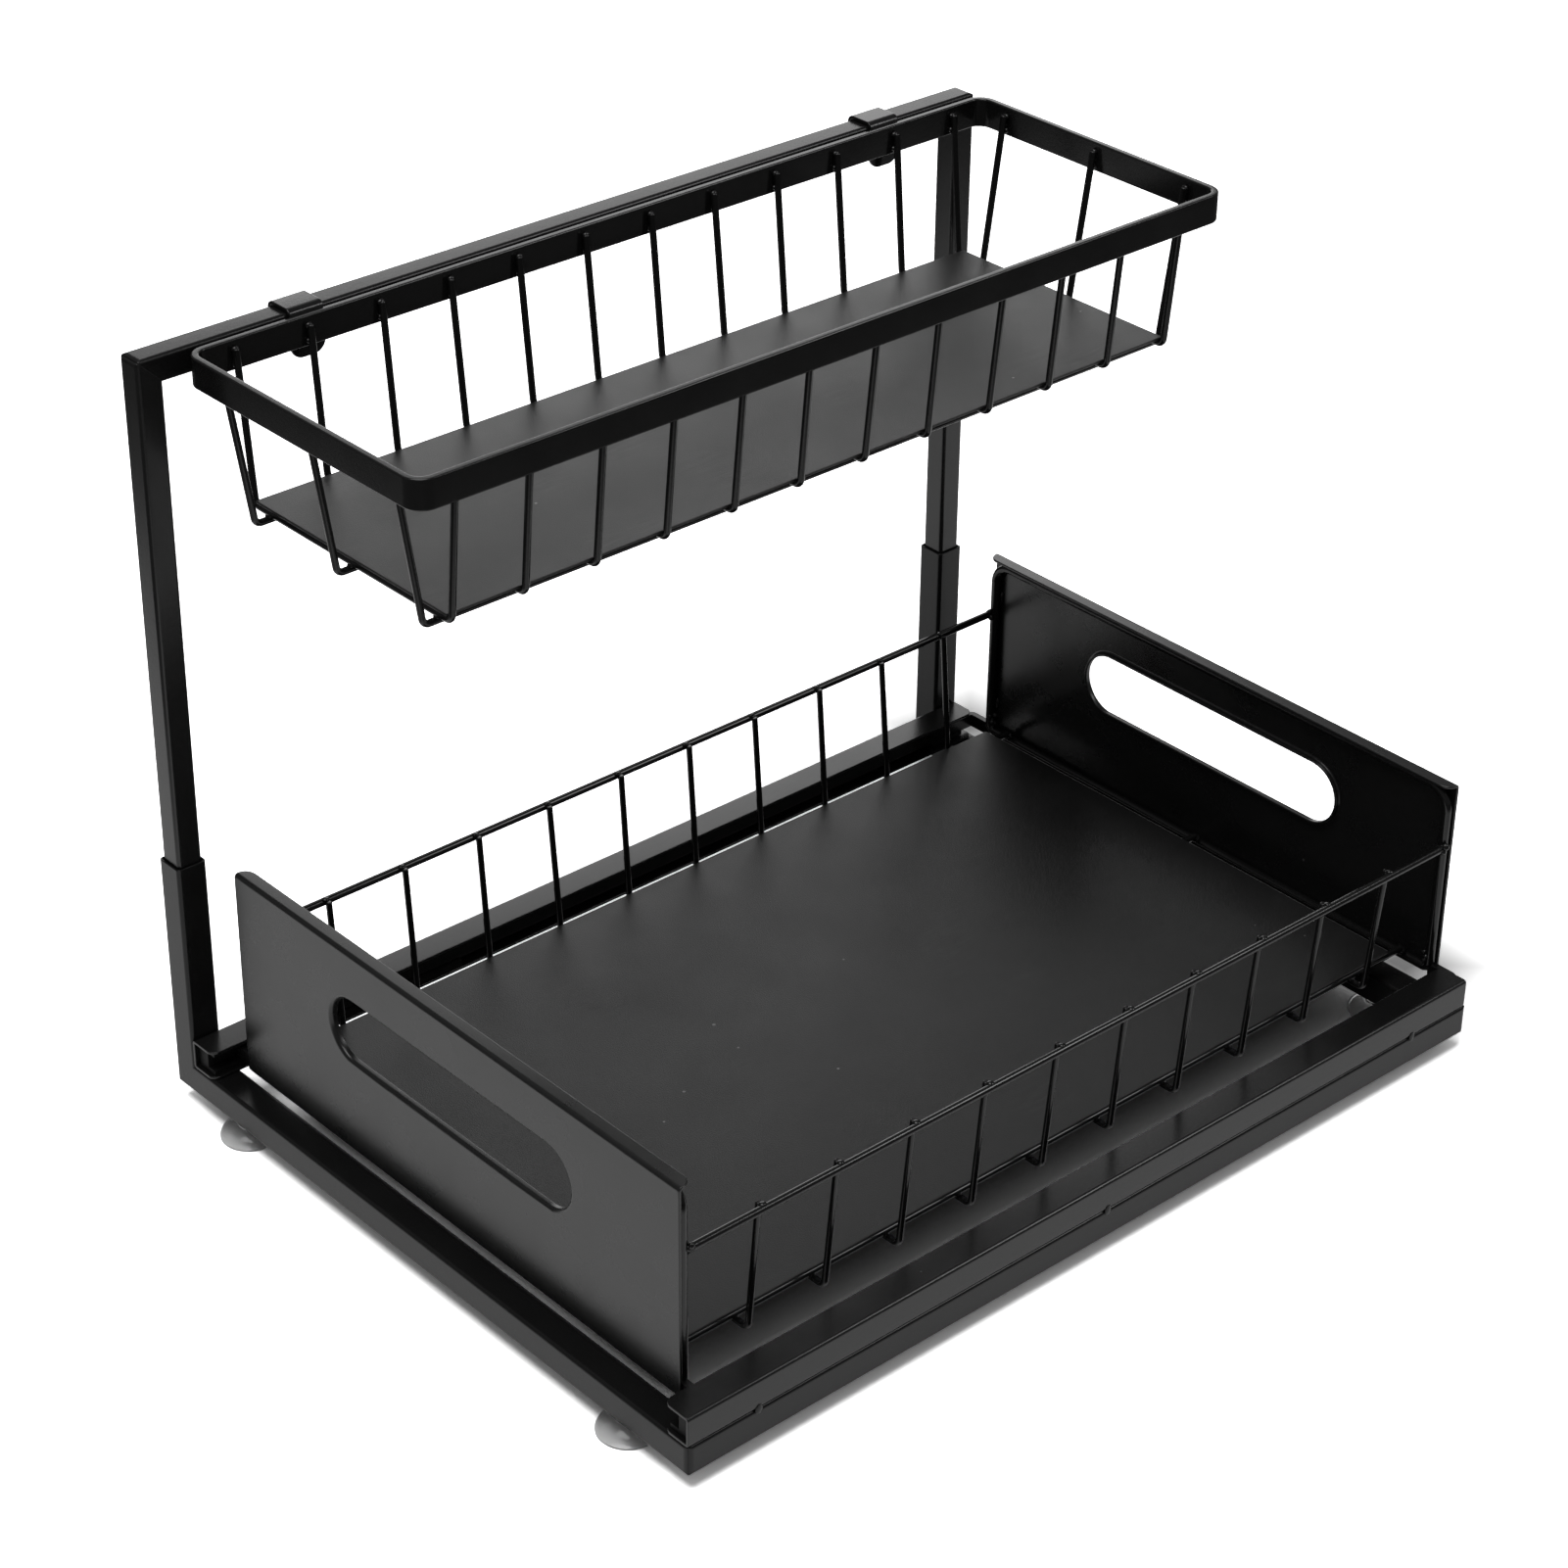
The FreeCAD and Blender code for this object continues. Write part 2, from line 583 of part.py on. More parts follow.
# Suction feet, pinned through the underside of the front and rear tubes
for row, y in (("front", front + tube / 2), ("rear", rear - tube / 2)):
    for column, x in (("left", left + foot_inset), ("right", right - foot_inset)):
        foot = new_body(f"suction_foot_{row}_{column}")
        outline = sketch_on(foot, "XZ_Plane")
        body_floor = foot_height - foot_body
        knob_floor = foot_height + tube_wall
        polygon(outline, [(ZERO, foot_hollow), (foot_radius - foot_lip, ZERO), (foot_radius, ZERO),
                          (foot_radius, foot_lip), (foot_neck, body_floor), (foot_neck, foot_height),
                          (foot_pin, foot_height), (foot_pin, knob_floor), (foot_knob, knob_floor),
                          (foot_pin, knob_floor + foot_knob_height), (ZERO, knob_floor + foot_knob_height)])
        revolve(foot, outline)
        place(foot, UPRIGHT, x, y, ZERO)

# Upper frame, mitred at both top corners and standing in the sleeves
upper_length = crossbar_top - upper_foot
upper_left = left + upper_shift
for name, axes, x, y in (
        ("front", (NORTH, -EAST, UP), upper_left + upper_tube, front + upper_shift),
        ("rear", (-NORTH, EAST, UP), upper_left, rear - upper_shift)):
    post = square_tube(f"{name}_upper_post", upper_tube, upper_length, [("high", "XZ_Plane")])
    place(post, axes, x, y, upper_foot)
bar_length = base_length - upper_shift * 2
crossbar = square_tube("upper_crossbar", upper_tube, bar_length, [("low", "XZ_Plane"), ("high", "XZ_Plane")])
place(crossbar, (-UP, -EAST, NORTH), upper_left + upper_tube, front + upper_shift, crossbar_top)

# Drawer end panels, folded in along the top over the rod hoops, with turned-in handle slots
slot_half = slot_width / 2 - slot_height / 2
lip_depth = panel_sheet + slot_lip
for name, axes, panel_y, hoop_y in (
        ("front", UPRIGHT, drawer_front, drawer_front + panel_sheet + hoop_rod / 2),
        ("rear", (-EAST, -NORTH, UP), drawer_rear, drawer_rear - panel_sheet - hoop_rod / 2)):
    panel = new_body(f"drawer_{name}_panel")
    section = sketch_on(panel, "YZ_Plane")
    polygon(section, [(ZERO, ZERO), (panel_sheet, ZERO), (panel_sheet, panel_height - panel_sheet),
                      (panel_flange, panel_height - panel_sheet), (panel_flange, panel_height),
                      (ZERO, panel_height)])
    folded = pad(panel, section, panel_half * 2, middle=True)
    bend = round_edges(panel, folded, bend_round,
                       lambda a, b: near(a.y, ZERO) and near(b.y, ZERO) and near(a.z, panel_height)
                       and near(b.z, panel_height))
    ends = round_edges(panel, bend, panel_flange_round,
                       lambda a, b: near(a.x - b.x, ZERO) and near(a.y, panel_flange)
                       and near(b.y, panel_flange))
    round_edges(panel, ends, panel_round,
                lambda a, b: near(a.x - b.x, ZERO) and near(a.z, ZERO) and near(b.z, ZERO))
    lip = sketch_on(panel, "XZ_Plane", -lip_depth)
    slot(lip, slot_half, slot_middle, slot_height / 2 + panel_sheet)
    pad(panel, lip, slot_lip + panel_sheet / 2)
    hole = sketch_on(panel, "XZ_Plane")
    slot(hole, slot_half, slot_middle, slot_height / 2)
    pocket(panel, hole)
    place(panel, axes, drawer_middle, panel_y, panel_floor)
    hoop = new_body(f"{name}_panel_hoop")
    half_height = panel_height / 2 - panel_sheet - hoop_rod / 2
    path = sketch_on(hoop, "XZ_Plane")
    rounded(path, hoop_half, half_height, hoop_round)
    profile = sketch_on(hoop, "YZ_Plane", hoop_round - hoop_half)
    circle(profile, ZERO, -half_height, hoop_rod / 2)
    sweep(hoop, profile, path)
    place(hoop, UPRIGHT, drawer_middle, hoop_y, panel_floor + panel_height / 2)

# Drawer wires and floor
side_wire_level = floor_tube + side_level
for name, x in (("left", drawer_middle - side_half), ("right", drawer_middle + side_half)):
    rod = wire("top_wire", side_rod / 2, wire_length, x, hoop_front, side_wire_level)
    finished(rod, f"drawer_{name}_top_wire")
floor_half = drawer_foot - floor_rod_inset
floor_wires = [wire("floor_wire", floor_rod / 2, wire_length, x, hoop_front, floor_wire_level)
               for x in (drawer_middle - floor_half, drawer_middle, drawer_middle + floor_half)]
group("drawer_floor_wires", floor_wires)


def trough_wires(label, plane, axis, top, top_level, foot, foot_level, radius, thickness, pitch, count):
    """Makes a row of like U-shaped wires, the first in the body's own plane."""
    body = new_body(label)
    path = sketch_on(body, plane)
    trough(path, top, top_level, foot, foot_level, radius)
    profile = sketch_on(body, "XY_Plane", top_level)
    start = (-top, ZERO) if plane == "XZ_Plane" else (ZERO, -top)
    circle(profile, *start, thickness / 2)
    repeat(body, sweep(body, profile, path), axis, pitch, count)
    return body


drawer_wires = trough_wires("drawer_cross_wires", "XZ_Plane", "Y_Axis", cross_half,
                            side_level + drawer_wire_rise - drawer_wire_level, drawer_foot, ZERO,
                            drawer_bend, drawer_wire, drawer_wire_pitch, drawer_wire_count)
place(drawer_wires, UPRIGHT, drawer_middle, hoop_front + drawer_wire_start, cross_level)
floor_half_width = drawer_foot + drawer_bend - drawer_wire / 2 - floor_side_gap
plate("drawer_floor_plate", floor_half_width * 2, wire_length - floor_end_gap * 2, floor_sheet,
      drawer_middle - floor_shift - floor_half_width, hoop_front + floor_end_gap,
      floor_wire_level + floor_rod / 2)

# Drawer runners, bent in at both ends behind the panels, with a shoe at the rear of each
runner_length = drawer_length - panel_sheet * 2
lug_reach = runner_reach - panel_half + lug_overlap
shoe_height = channel_inside - slide_gap * 2
for name, axes, x, y, shoe_x, shoe_y in (
        ("left", (EAST, -NORTH, -UP), drawer_middle - runner_reach, drawer_rear - panel_sheet,
         drawer_middle - runner_reach - liner_web, drawer_rear - panel_sheet - shoe_setback),
        ("right", (-EAST, NORTH, -UP), drawer_middle + runner_reach, drawer_front + panel_sheet,
         drawer_middle + runner_reach + liner_web, drawer_rear - panel_sheet - shoe_setback - shoe_length)):
    runner = new_body(f"{name}_drawer_runner")
    outline = sketch_on(runner, "XY_Plane")
    polygon(outline, [(ZERO, ZERO), (lug_reach, ZERO), (lug_reach, runner_bar), (runner_bar, runner_bar),
                      (runner_bar, runner_length - runner_bar), (lug_reach, runner_length - runner_bar),
                      (lug_reach, runner_length), (ZERO, runner_length)])
    pad(runner, outline, runner_height)
    place(runner, axes, x, y, runner_floor + runner_height)
    shoe, raised = folded_channel(f"{name}_runner_shoe", liner_web + runner_bar, shoe_height, liner_web,
                                  shoe_height / 2 - runner_height / 2, shoe_length)
    shoe_axes = (EAST, UP, -NORTH) if name == "left" else along_rear
    place(shoe, shoe_axes, shoe_x, shoe_y, channel_floor + channel_sheet + slide_gap)

# Basket rim, wires and floor
rim = new_body("basket_rim")
outline = sketch_on(rim, "XY_Plane")
rounded(outline, rim_half, rim_half_length, rim_round)
rounded(outline, rim_half - rim_bar, rim_half_length - rim_bar, rim_round - rim_bar)
raised = pad(rim, outline, rim_height)
round_edges(rim, raised, rim_edge, lambda a, b: near(a.z - b.z, ZERO))
place(rim, UPRIGHT, basket_middle, basket_centre, rim_top - rim_height)

cross_wires = trough_wires("basket_cross_wires", "XZ_Plane", "Y_Axis", inside_half,
                           basket_top - basket_cross_level, basket_foot, ZERO, basket_bend, basket_wire,
                           basket_wire_pitch, basket_wire_count)
first_wire = basket_centre - rim_half_length + basket_wire_end
place(cross_wires, UPRIGHT, basket_middle, first_wire, basket_cross_level)
long_wires = trough_wires("basket_long_wires", "YZ_Plane", "X_Axis", inside_half_length,
                          basket_top - basket_long_level, long_foot, ZERO, basket_bend, basket_wire,
                          long_wire_pitch, long_wire_count)
place(long_wires, UPRIGHT, rim_left + long_wire_side, basket_centre, basket_long_level)
plate_half = basket_foot - plate_side_gap
plate_half_length = long_foot + basket_bend - basket_wire / 2 - plate_end_gap
plate("basket_floor_plate", plate_half * 2, plate_half_length * 2, floor_sheet, basket_middle - plate_half,
      basket_centre - plate_half_length, basket_cross_level + basket_wire / 2)

# Hooks that hang the basket on the crossbar
hook_inside = upper_tube + hook_gap * 2
hook_outside = hook_inside + hook_sheet * 2
hook_top = hook_gap + hook_sheet
tongue_end = rim_drop + rim_height + hook_tongue
hook_half_spread = rim_half_length - hook_inset
for name, y in (("front", basket_centre - hook_half_spread), ("rear", basket_centre + hook_half_spread)):
    hook = new_body(f"basket_{name}_hook")
    outline = sketch_on(hook, "XZ_Plane")
    polygon(outline, [(ZERO, -hook_lip), (hook_sheet, -hook_lip), (hook_sheet, hook_gap),
                      (hook_sheet + hook_inside, hook_gap), (hook_sheet + hook_inside, -tongue_end),
                      (hook_outside, -tongue_end), (hook_outside, hook_top), (ZERO, hook_top)])
    strip = pad(hook, outline, hook_width, middle=True)
    bends = round_edges(hook, strip, bend_round,
                        lambda a, b: near(a.z, hook_top) and near(b.z, hook_top) and near(a.x - b.x, ZERO))

    def leg_corner(a, b):
        across_strip = near(a.z - b.z, ZERO) and near(a.y - b.y, ZERO)
        return across_strip and near(a.z, -hook_lip, -tongue_end)

    round_edges(hook, bends, hook_round, leg_corner)
    place(hook, UPRIGHT, upper_left - hook_gap - hook_sheet, y, crossbar_top)

doc.recompute()

# Every object must have computed, and every piece must be a sound solid, before anything is written
for item in doc.Objects:
    if "Invalid" in item.State or "Error" in item.State:
        raise RuntimeError(f"{item.Label} did not compute: {item.State}")
for item in made:
    if item.Shape.isNull() or not item.Shape.isValid() or not item.Shape.Solids:
        raise RuntimeError(f"{item.Label} is not a sound solid")

os.makedirs("parts", exist_ok=True)
for item in made:
    item.Shape.exportStep(f"parts/{item.Label}.step")
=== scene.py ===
"""Dressed model of a two-tier under-sink organizer: tube frame, pull-out drawer and hooked basket.

Every length is in millimetres, in the part's own frame, until a mesh is made from it.
"""

from __future__ import annotations

import json
import logging
import math
import random
from dataclasses import dataclass, replace
from enum import Enum
from typing import Callable, ClassVar, Sequence

import bmesh
import bpy
from mathutils import Matrix, Vector

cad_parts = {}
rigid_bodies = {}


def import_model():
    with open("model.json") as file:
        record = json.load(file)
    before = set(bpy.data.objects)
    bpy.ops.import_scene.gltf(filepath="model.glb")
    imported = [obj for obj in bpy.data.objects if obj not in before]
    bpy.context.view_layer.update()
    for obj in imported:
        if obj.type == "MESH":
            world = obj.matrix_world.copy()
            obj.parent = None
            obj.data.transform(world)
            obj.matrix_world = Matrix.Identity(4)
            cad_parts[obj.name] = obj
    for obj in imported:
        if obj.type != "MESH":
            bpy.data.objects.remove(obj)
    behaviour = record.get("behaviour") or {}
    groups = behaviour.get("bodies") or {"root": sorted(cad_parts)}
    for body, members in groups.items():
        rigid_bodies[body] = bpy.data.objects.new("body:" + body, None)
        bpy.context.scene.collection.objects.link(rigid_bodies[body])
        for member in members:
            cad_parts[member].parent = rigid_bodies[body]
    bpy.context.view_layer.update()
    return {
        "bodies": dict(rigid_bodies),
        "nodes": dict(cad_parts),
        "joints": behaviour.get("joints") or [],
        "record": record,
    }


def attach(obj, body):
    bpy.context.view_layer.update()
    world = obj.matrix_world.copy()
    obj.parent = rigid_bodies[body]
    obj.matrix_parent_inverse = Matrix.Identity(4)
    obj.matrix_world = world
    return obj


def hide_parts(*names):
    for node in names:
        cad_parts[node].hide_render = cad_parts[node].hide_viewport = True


LOG = logging.getLogger("organizer")
MM = 0.001
FULL_TURN = 2 * math.pi
QUARTER = math.pi / 2
EAST = Vector((1, 0, 0))
NORTH = Vector((0, 1, 0))
UP = Vector((0, 0, 1))

Loop = list[Vector]
Flat = tuple[float, float]
Triple = tuple[float, float, float]
Area = tuple[Flat, Flat]
Socket = bpy.types.NodeSocket

ENDS = (("front", -1), ("rear", 1))
SIDES = (("left", -1), ("right", 1))

WIRE_END_SHARES: tuple[Flat, ...] = ((0.0, 0.62), (0.16, 0.86), (0.5, 1.0))
STRIP_TIP_SHARES: tuple[Flat, ...] = ((0.7, 0.8), (1.0, 0.4), (1.0, -0.4), (0.7, -0.8))
STRIP_EDGE = 0.3
STRIP_EDGE_SHARE = 0.3
STRIP_STEPS = 7
PLATE_EDGE = 0.35
PLATE_CORNER = 0.8
MITRE_STEPS = 4
SQUARE_CUT_SHARE = 0.99
CORNER_CUT_SHARE = 0.25


class Slot(Enum):
    """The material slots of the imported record."""

    COAT = "satin_black_coat"
    SHEET = "satin_black_sheet"
    WIRE = "satin_black_wire"
    NYLON = "black_nylon"
    VINYL = "clear_vinyl"


class Body(Enum):
    """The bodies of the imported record."""

    BASE = "base"
    UPPER = "upper_frame"
    DRAWER = "drawer"
    BASKET = "basket"


# Mesh making


class Skin:
    """Points and faces of one piece, gathered loop by loop."""

    def __init__(self) -> None:
        """Starts with nothing."""
        self.points: Loop = []
        self.faces: list[list[int]] = []

    def loft(self, loops: Sequence[Loop], closed: bool = False) -> None:
        """Joins loops of equally many points, and closes the ends or joins the last to the first.

        Args:
            loops: the loops in order.
            closed: True where the last loop joins the first.
        """
        rings = []
        for loop in loops:
            start = len(self.points)
            self.points.extend(loop)
            rings.append(list(range(start, len(self.points))))
        pairs = list(zip(rings, rings[1:]))
        if closed:
            pairs.append((rings[-1], rings[0]))
        else:
            self.faces.append(rings[0][::-1])
            self.faces.append(rings[-1])
        for first, second in pairs:
            count = len(first)
            for here in range(count):
                there = (here + 1) % count
                self.faces.append([first[here], first[there], second[there], second[here]])

    def mesh(self, name: str) -> bpy.types.Mesh:
        """Makes the smooth-shaded mesh in metres.

        Args:
            name: the name of the mesh.

        Returns:
            The mesh, with its faces turned outwards.
        """
        made = bpy.data.meshes.new(name)
        made.from_pydata([point * MM for point in self.points], [], self.faces)
        work = bmesh.new()
        work.from_mesh(made)
        bmesh.ops.recalc_face_normals(work, faces=work.faces)
        for face in work.faces:
            face.smooth = True
        work.to_mesh(made)
        work.free()
        return made


def bent_path(corners: Sequence[Vector], bends: float | Sequence[float], steps: int = 7,
              closed: bool = False) -> Loop:
    """Rounds the corners of a run of straight lengths.

    Args:
        corners: the ends and corners of the run.
        bends: the bend at the middle of the rod or sheet, one for all corners or one for each.
        steps: pieces in each bend.
        closed: True where the last length joins the first.

    Returns:
        The points along the run.
    """
    path: Loop = []
    count = len(corners)
    for index, corner in enumerate(corners):
        if not closed and index in (0, count - 1):
            path.append(corner.copy())
            continue
        before = (corners[index - 1] - corner).normalized()
        after = (corners[(index + 1) % count] - corner).normalized()
        radius = bends if isinstance(bends, float) else bends[index]
        half = before.angle(after) / 2
        centre = corner + (before + after).normalized() * (radius / math.sin(half))
        reach = radius / math.tan(half)
        start = corner + before * reach - centre
        end = corner + after * reach - centre
        turn = start.angle(end)
        for step in range(steps + 1):
            share = step / steps
            spoke = start * math.sin((1 - share) * turn) + end * math.sin(share * turn)
            path.append(centre + spoke / math.sin(turn))
    return path


def tangents(path: Sequence[Vector], closed: bool) -> Loop:
    """The direction of a path at each of its points.

    Args:
        path: the points.
        closed: True where the last point joins the first.

    Returns:
        One unit direction for each point.
    """
    count = len(path)
    found: Loop = []
    for index in range(count):
        before = path[index - 1] if closed or index > 0 else path[index]
        after = path[(index + 1) % count] if closed or index < count - 1 else path[index]
        found.append((after - before).normalized())
    return found


def add_wire(skin: Skin, path: Sequence[Vector], radius: float, closed: bool = False,
             sides: int = 14) -> None:
    """Adds a round wire with softly rounded cut ends.

    Args:
        skin: the piece that gets it.
        path: the points along its middle.
        radius: the wire's radius.
        closed: True for a hoop.
        sides: faces round the wire.
    """
    headings = tangents(path, closed)
    across = headings[0].orthogonal().normalized()
    loops: list[Loop] = []
    last = len(path) - 1
    for index, (centre, heading) in enumerate(zip(path, headings)):
        across = (across - heading * across.dot(heading)).normalized()
        over = heading.cross(across)
        stations = [(0.0, 1.0)]
        if not closed and index == 0:
            stations = list(WIRE_END_SHARES)
        elif not closed and index == last:
            stations = [(-along, share) for along, share in reversed(WIRE_END_SHARES)]
        for along, share in stations:
            middle = centre + heading * (along * radius)
            reach = radius * share
            angles = [FULL_TURN * side / sides for side in range(sides)]
            loops.append([middle + across * (reach * math.cos(angle)) + over * (reach * math.sin(angle))
                          for angle in angles])
    skin.loft(loops, closed)


def rounded_outline(low: Flat, high: Flat, corner: float, steps: int = 6) -> list[Flat]:
    """Draws a rectangle with rounded corners, counter-clockwise.

    Args:
        low: its lowest corner.
        high: its highest corner.
        corner: the corners' radius.
        steps: pieces in each corner.

    Returns:
        The points of the outline.
    """
    centres = ((high[0] - corner, high[1] - corner), (low[0] + corner, high[1] - corner),
               (low[0] + corner, low[1] + corner), (high[0] - corner, low[1] + corner))
    points = []
    for turn, centre in enumerate(centres):
        for step in range(steps + 1):
            angle = (turn + step / steps) * QUARTER
            points.append((centre[0] + corner * math.cos(angle), centre[1] + corner * math.sin(angle)))
    return points


def quarter_round(radius: float, steps: int = 3) -> list[Flat]:
    """The steps of a rounded edge, as the inset from the side and the distance from the end face.

    Args:
        radius: the edge's radius.
        steps: pieces in the rounding.

    Returns:
        The steps from the end face to the side.
    """
    angles = [QUARTER * step / steps for step in range(steps + 1)]
    return [(radius * (1 - math.sin(angle)), radius * (1 - math.cos(angle))) for angle in angles]


@dataclass(frozen=True)
class Cut:
    """A plane that ends a tube: a point on it and its outward normal."""

    point: Vector
    normal: Vector


@dataclass(frozen=True)
class SquareTube:
    """A square tube on a middle line, with its long edges rounded."""

    middle: Vector
    along: Vector
    across: Vector
    side: float
    corner: float
    edge: float = 0.35
    bend: float = 2.4

    def loop(self, cut: Cut, inset: float, shift: float) -> Loop:
        """The tube's outline at a cut.

        Args:
            cut: the plane that ends the tube.
            inset: how far the outline lies inside the tube's faces.
            shift: how far it lies back from the plane, along the tube.

        Returns:
            The points of the outline.
        """
        over = self.along.cross(self.across)
        half = self.side / 2 - inset
        outline = rounded_outline((-half, -half), (half, half), max(self.corner - inset, self.edge / 2))
        inward = -math.copysign(1.0, self.along.dot(cut.normal))
        points = []
        for wide, high in outline:
            foot = self.middle + self.across * wide + over * high
            travel = (cut.point - foot).dot(cut.normal) / self.along.dot(cut.normal)
            points.append(foot + self.along * (travel + inward * shift))
        return points

    def mitre(self, cut: Cut, share: float) -> Loop:
        """An outline near a mitre whose outer corner is ground round.

        Args:
            cut: the mitre's plane, through the outer corner.
            share: how much of the rounding is done, up to 1 at the mitre itself.

        Returns:
            The points of the outline.
        """
        over = self.along.cross(self.across)
        slant = self.along.dot(cut.normal)
        inner = (cut.normal - self.along * slant).normalized()
        end = (cut.point - self.middle).dot(self.along)
        turn = share * QUARTER / 2
        half = self.side / 2
        points = []
        for wide, high in rounded_outline((-half, -half), (half, half), self.corner):
            foot = self.across * wide + over * high
            depth = half + foot.dot(inner)
            kept = max(depth, self.bend * (1 - math.cos(turn)))
            back = max(kept, self.bend * (1 - math.sin(turn))) + (1 - share) * self.edge
            place = self.middle + foot + inner * (kept - depth)
            points.append(place + self.along * (end - math.copysign(back, slant)))
        return points

    def tip(self, cut: Cut) -> list[Loop]:
        """The outlines of one end, from its tip inwards.

        Args:
            cut: the plane that ends the tube.

        Returns:
            The outlines.
        """
        if abs(self.along.dot(cut.normal)) > SQUARE_CUT_SHARE:
            return [self.loop(cut, inset, shift) for inset, shift in quarter_round(self.edge)]
        return [self.mitre(cut, step / MITRE_STEPS) for step in range(MITRE_STEPS, -1, -1)]

    def add(self, skin: Skin, start: Cut, end: Cut, wall: float = 0.0, depth: float = 0.0) -> None:
        """Adds the tube between two cuts.

        Args:
            skin: the piece that gets it.
            start: the first cut.
            end: the last cut.
            wall: the wall that shows at an open last end, or 0 for a closed one.
            depth: how deep the open end is.
        """
        loops = self.tip(start) + self.tip(end)[::-1]
        if wall:
            loops += [self.loop(end, wall - inset, shift) for inset, shift in quarter_round(self.edge)]
            loops.append(self.loop(end, wall, depth))
        skin.loft(loops)


def add_strip(skin: Skin, outline: Callable[[float], Loop], start: Vector, across: Vector, width: float,
              sheet: float, corner: float) -> None:
    """Adds a folded strip of sheet whose free ends have rounded corners.

    Args:
        skin: the piece that gets it.
        outline: gives the middle of the sheet for free ends drawn back by a length.
        start: the place of the first side.
        across: the direction from the first side to the second.
        width: the strip's width.
        sheet: the sheet's thickness.
        corner: the radius of the corners at the free ends.
    """
    edge = STRIP_EDGE
    drops = {0.0, edge * STRIP_EDGE_SHARE, edge}
    drops.update(corner * (1 - math.cos(QUARTER * step / STRIP_STEPS)) for step in range(1, STRIP_STEPS + 1))
    near = sorted(drops)
    loops = []
    for place in near + [width - drop for drop in reversed(near)]:
        drop = min(place, width - place)
        back = corner - math.sqrt(max(corner ** 2 - (corner - min(drop, corner)) ** 2, 0.0))
        thin = edge - math.sqrt(max(edge ** 2 - (edge - min(drop, edge)) ** 2, 0.0))
        half = sheet / 2 - thin
        path = outline(back)
        headings = tangents(path, False)
        upper, lower = [], []
        for point, heading in zip(path, headings):
            side = across.cross(heading) * half
            upper.append(point + side)
            lower.append(point - side)
        tips = []
        for end, heading in ((path[-1], headings[-1]), (path[0], -headings[0])):
            side = across.cross(heading) * half
            tips.append([end + heading * (edge * lift) + side * spread
                         for lift, spread in STRIP_TIP_SHARES])
        base = start + across * place
        loops.append([base + point for point in upper + tips[0] + lower[::-1] + tips[1]])
    skin.loft(loops)


def ray_loop(outline: Sequence[Flat], angles: Sequence[float]) -> list[Flat]:
    """Where rays from the middle cross an outline round it.

    Args:
        outline: the points of the outline, counter-clockwise round zero.
        angles: the directions of the rays.

    Returns:
        One crossing for each ray.
    """
    count = len(outline)
    crossings = []
    for angle in angles:
        ray = (math.cos(angle), math.sin(angle))
        for index in range(count):
            ax, ay = outline[index]
            bx, by = outline[(index + 1) % count]
            first = ray[0] * ay - ray[1] * ax
            second = ray[0] * by - ray[1] * bx
            ahead = ray[0] * (ax + bx) + ray[1] * (ay + by)
            if first <= 0 < second and ahead > 0:
                share = first / (first - second)
                crossings.append((ax + (bx - ax) * share, ay + (by - ay) * share))
                break
    return crossings


def add_turned(skin: Skin, profile: Sequence[Flat], x: float, y: float, sides: int = 56) -> None:
    """Adds a turned piece on an upright axis.

    Args:
        skin: the piece that gets it.
        profile: radius and height from one end of the axis to the other.
        x: the axis' place.
        y: the axis' place.
        sides: faces round the axis.
    """
    angles = [FULL_TURN * side / sides for side in range(sides)]
    skin.loft([[Vector((x + r * math.cos(a), y + r * math.sin(a), z)) for a in angles] for r, z in profile])


def softened(profile: Sequence[Flat], rounds: int = 2) -> list[Flat]:
    """Cuts the corners of a profile until it is a smooth curve.

    Args:
        profile: the points, of which the ends stay.
        rounds: how often the corners are cut.

    Returns:
        The smoother points.
    """
    points = list(profile)
    for _ in range(rounds):
        smoother = [points[0]]
        for (ax, ay), (bx, by) in zip(points, points[1:]):
            for near in (1 - CORNER_CUT_SHARE, CORNER_CUT_SHARE):
                smoother.append((ax * near + bx * (1 - near), ay * near + by * (1 - near)))
        smoother.append(points[-1])
        points = smoother
    return points


@dataclass(frozen=True)
class Bead:
    """A weld bead: its half sizes and how far it lies off a joint."""

    half: Triple
    shift: Triple = (0.0, 0.0, 0.0)


@dataclass(frozen=True)
class Clump:
    """A rough clump of beads: their usual half size and number, how far they spread and lie off a joint."""

    size: float
    count: int
    spread: Triple
    shift: Triple


